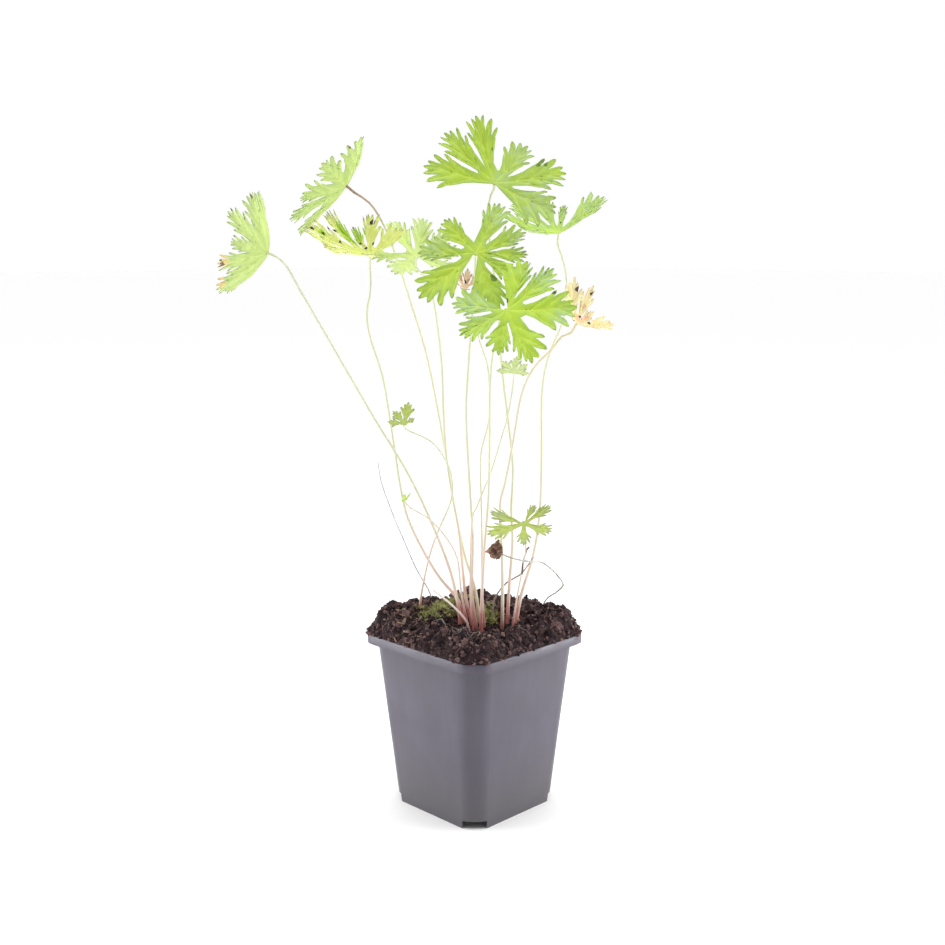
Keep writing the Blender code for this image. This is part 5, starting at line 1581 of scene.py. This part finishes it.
def stalk_hairs():
    """Places, directions and lengths of the hairs on all the stalks."""
    draw = random.Random(31)
    runs = [smooth_route([TO_PLANT @ point for point in stalk_points(leaf)]) for leaf in LEAVES.values()]
    shares = [len(run) for run in runs]
    hairs = []
    while len(hairs) < STALK_HAIRS:
        run = draw.choices(runs, shares)[0]
        k = draw.randrange(len(run) - 1)
        place = run[k].lerp(run[k + 1], draw.random())
        if place.z < POT_HEIGHT + BARE_FOOT:
            continue
        along = (run[k + 1] - run[k]).normalized()
        away = along.orthogonal().normalized()
        away.rotate(Matrix.Rotation(draw.uniform(0.0, math.tau), 3, along))
        way = (away - along * draw.uniform(*LEAN_DOWN)).normalized()
        hairs.append((place + away * TIP_RADIUS * 0.5, way, draw.uniform(*STALK_HAIR_LENGTH) * MM))
    return hairs


def edge_hairs():
    """Places, directions and lengths of the hairs round all the blades."""
    draw = random.Random(37)
    hairs = []
    for name in LEAVES:
        bm = bmesh.new()
        bm.from_mesh(bpy.data.objects["leaf_blade_" + name].data)
        for edge in bm.edges:
            if not edge.is_boundary or draw.random() > EDGE_HAIR_SHARE:
                continue
            middle = (edge.verts[0].co + edge.verts[1].co) / 2
            run = (edge.verts[1].co - edge.verts[0].co).normalized()
            normal = edge.link_faces[0].normal
            away = run.cross(normal)
            if away.dot(middle - edge.link_faces[0].calc_center_median()) < 0.0:
                away.negate()
            way = away + run * draw.uniform(*STRAY) + normal * draw.uniform(*STRAY)
            hairs.append((middle, way.normalized(), draw.uniform(*EDGE_HAIR_LENGTH) * MM))
        bm.free()
    return hairs


stalk_hair_list, edge_hair_list = stalk_hairs(), edge_hairs()
print("hairs on stalks", len(stalk_hair_list), "and on edges", len(edge_hair_list))

# %% The hairs' material and pieces
def hair_material():
    """Plant hair, grown. The eye gets a thin pale glint that warms towards the soil."""
    made, tree, shader = new_material("Plant hair")
    place = add(tree, "TexCoord", out="Object")
    level = add(tree, "SeparateXYZ", {0: place}, out="Z")
    above = add(tree, "MapRange", {0: level, 1: 0.105, 2: 0.160}, **SMOOTH)
    colour = add(tree, "Mix", {0: above, 6: linear("#E6C2B8"), 7: linear("#E4E7D0")}, **COLOURS)
    colour = cover(tree, place, colour, "#D2D8AE", 6.0, (0.35, 0.65), 2.0, (0.0, 0.4))
    # A hair's skin is finely warty. The warts are drawn at 0.1 mm, coarser than real ones
    warty = add(tree, "TexNoise", {"Vector": place, "Scale": per(0.1), "Detail": 1.0})
    finish_surface(tree, shader, colour, warty, (0.35, 0.45), 0.2, 0.00002)
    return made


def hair_piece(name, hairs, material):
    """All the hairs of one kind as one piece."""
    ready = iter(hairs)
    bm = in_batches(len(hairs), lambda part: add_hair(part, *next(ready)))
    return finish_piece(name, mesh_from(bm, name), [material])


HAIR = hair_material()
hair_piece("stalk_hairs", stalk_hair_list, HAIR)
hair_piece("edge_hairs", edge_hair_list, HAIR)
print("hair faces", sum(len(bpy.data.meshes[name].polygons) for name in ("stalk_hairs", "edge_hairs")))

# %% [markdown]
# The plant stands on a plain pale floor in soft light: a bright surround, a large soft panel on each
# side and one above. A small low panel on each side is aimed at the pot, so that its two faces are
# lighter than the narrow corner between them. The camera stands corner-on to the pot, as high as the
# leaves, and looks down by ten degrees.

# %% Floor
FLOOR_REACH = 15.0


def pale_floor():
    """A wide flat floor."""
    bm = bmesh.new()
    bmesh.ops.create_grid(bm, x_segments=1, y_segments=1, size=FLOOR_REACH)
    floor = in_scene("floor", mesh_from(bm, "floor"))
    matte, _, _ = new_material("Studio floor, matte white", Base_Color=linear("#FBFBFB"), Roughness=0.9,
                               Specular_IOR_Level=0.1)
    floor.data.materials.append(matte)


pale_floor()
print("floor", 2 * FLOOR_REACH, "m across")

# %% Light
LIGHTS = (
    # name, place across, back and up in metres, size, power, height it is aimed at, spread in degrees
    ("panel_left", (-1.1, 0.05, 0.50), 0.9, 7.8, 0.15, 180.0),
    ("panel_right", (1.15, 0.07, 0.50), 0.9, 9.4, 0.15, 180.0),
    ("panel_top", (0.0, -0.25, 1.4), 1.2, 6.5, 0.20, 180.0),
    ("low_left", (-0.65, -0.02, 0.07), 0.12, 0.018, 0.04, 18.0),
    ("low_right", (0.65, -0.02, 0.07), 0.12, 0.018, 0.04, 18.0),
)


def soft_panel(name, place, size, power, aim, spread_degrees):
    """A square area light that faces the plant."""
    light = bpy.data.lights.new(name, "AREA")
    light.shape, light.size, light.energy = "SQUARE", size, power
    light.spread = math.radians(spread_degrees)
    lamp = in_scene(name, light)
    spot = TO_PLANT @ Vector(place)
    lamp.location = spot
    lamp.rotation_euler = (POT_AXIS + Vector((0.0, 0.0, aim)) - spot).to_track_quat("-Z", "Y").to_euler()


for entry in LIGHTS:
    soft_panel(*entry)
print("lights", len(LIGHTS))

# %% Surround
ROOM_LEVEL, CEILING_LEVEL = 0.04, 0.50
WHITE = (1.0, 1.0, 1.0, 1.0)


def studio_world():
    """A white surround, darker on the camera's side except near the horizon and below it."""
    made = bpy.data.worlds.new("Studio surround")
    made.use_nodes = True
    tree = made.node_tree
    tree.nodes["Background"].inputs["Color"].default_value = WHITE
    way = add(tree, "TexCoord", out="Generated")
    front = (math.sin(CORNER_ON), -math.cos(CORNER_ON), 0.0)
    facing = add(tree, "VectorMath", {0: way, 1: front}, out="Value", operation="DOT_PRODUCT")
    around = add(tree, "MapRange", {0: facing, 1: -0.10, 2: 0.50, 3: 1.0, 4: ROOM_LEVEL}, **SMOOTH)
    up = add(tree, "SeparateXYZ", {0: way}, out="Z")
    overhead = add(tree, "MapRange", {0: up, 1: 0.15, 2: 0.80, 4: CEILING_LEVEL}, **SMOOTH)
    band = add(tree, "MapRange", {0: up, 1: 0.05, 2: 0.15, 3: 1.0, 4: 0.0}, **SMOOTH)
    around = add(tree, "Math", {0: around, 1: band}, operation="MAXIMUM")
    level = add(tree, "Math", {0: around, 1: overhead}, operation="ADD")
    tree.links.new(level, tree.nodes["Background"].inputs["Strength"])
    return made


bpy.context.scene.world = studio_world()
bpy.context.scene.view_settings.view_transform = "Standard"
print("surround nodes", len(bpy.context.scene.world.node_tree.nodes))

# %% Camera
CAMERA_AT = (-0.0011, -0.660, 0.2982)   # across, back and up from the pot's axis
CAMERA_PITCH = math.radians(80.0)       # ten degrees below level
FOCAL_PIXELS, FRAME_PIXELS, SENSOR = 1268.0, 945.0, 36.0
NEAREST, FURTHEST = 0.01, 60.0

camera_data = bpy.data.cameras.new("camera")
camera_data.sensor_width = SENSOR
camera_data.lens = FOCAL_PIXELS / FRAME_PIXELS * SENSOR
camera_data.clip_start, camera_data.clip_end = NEAREST, FURTHEST
camera = in_scene("camera", camera_data)
camera.matrix_world = TO_PLANT @ Matrix.Translation(CAMERA_AT) @ Matrix.Rotation(CAMERA_PITCH, 4, "X")
bpy.context.scene.camera = camera
print("lens", round(camera_data.lens, 2))

# %% The end
bpy.context.view_layer.update()
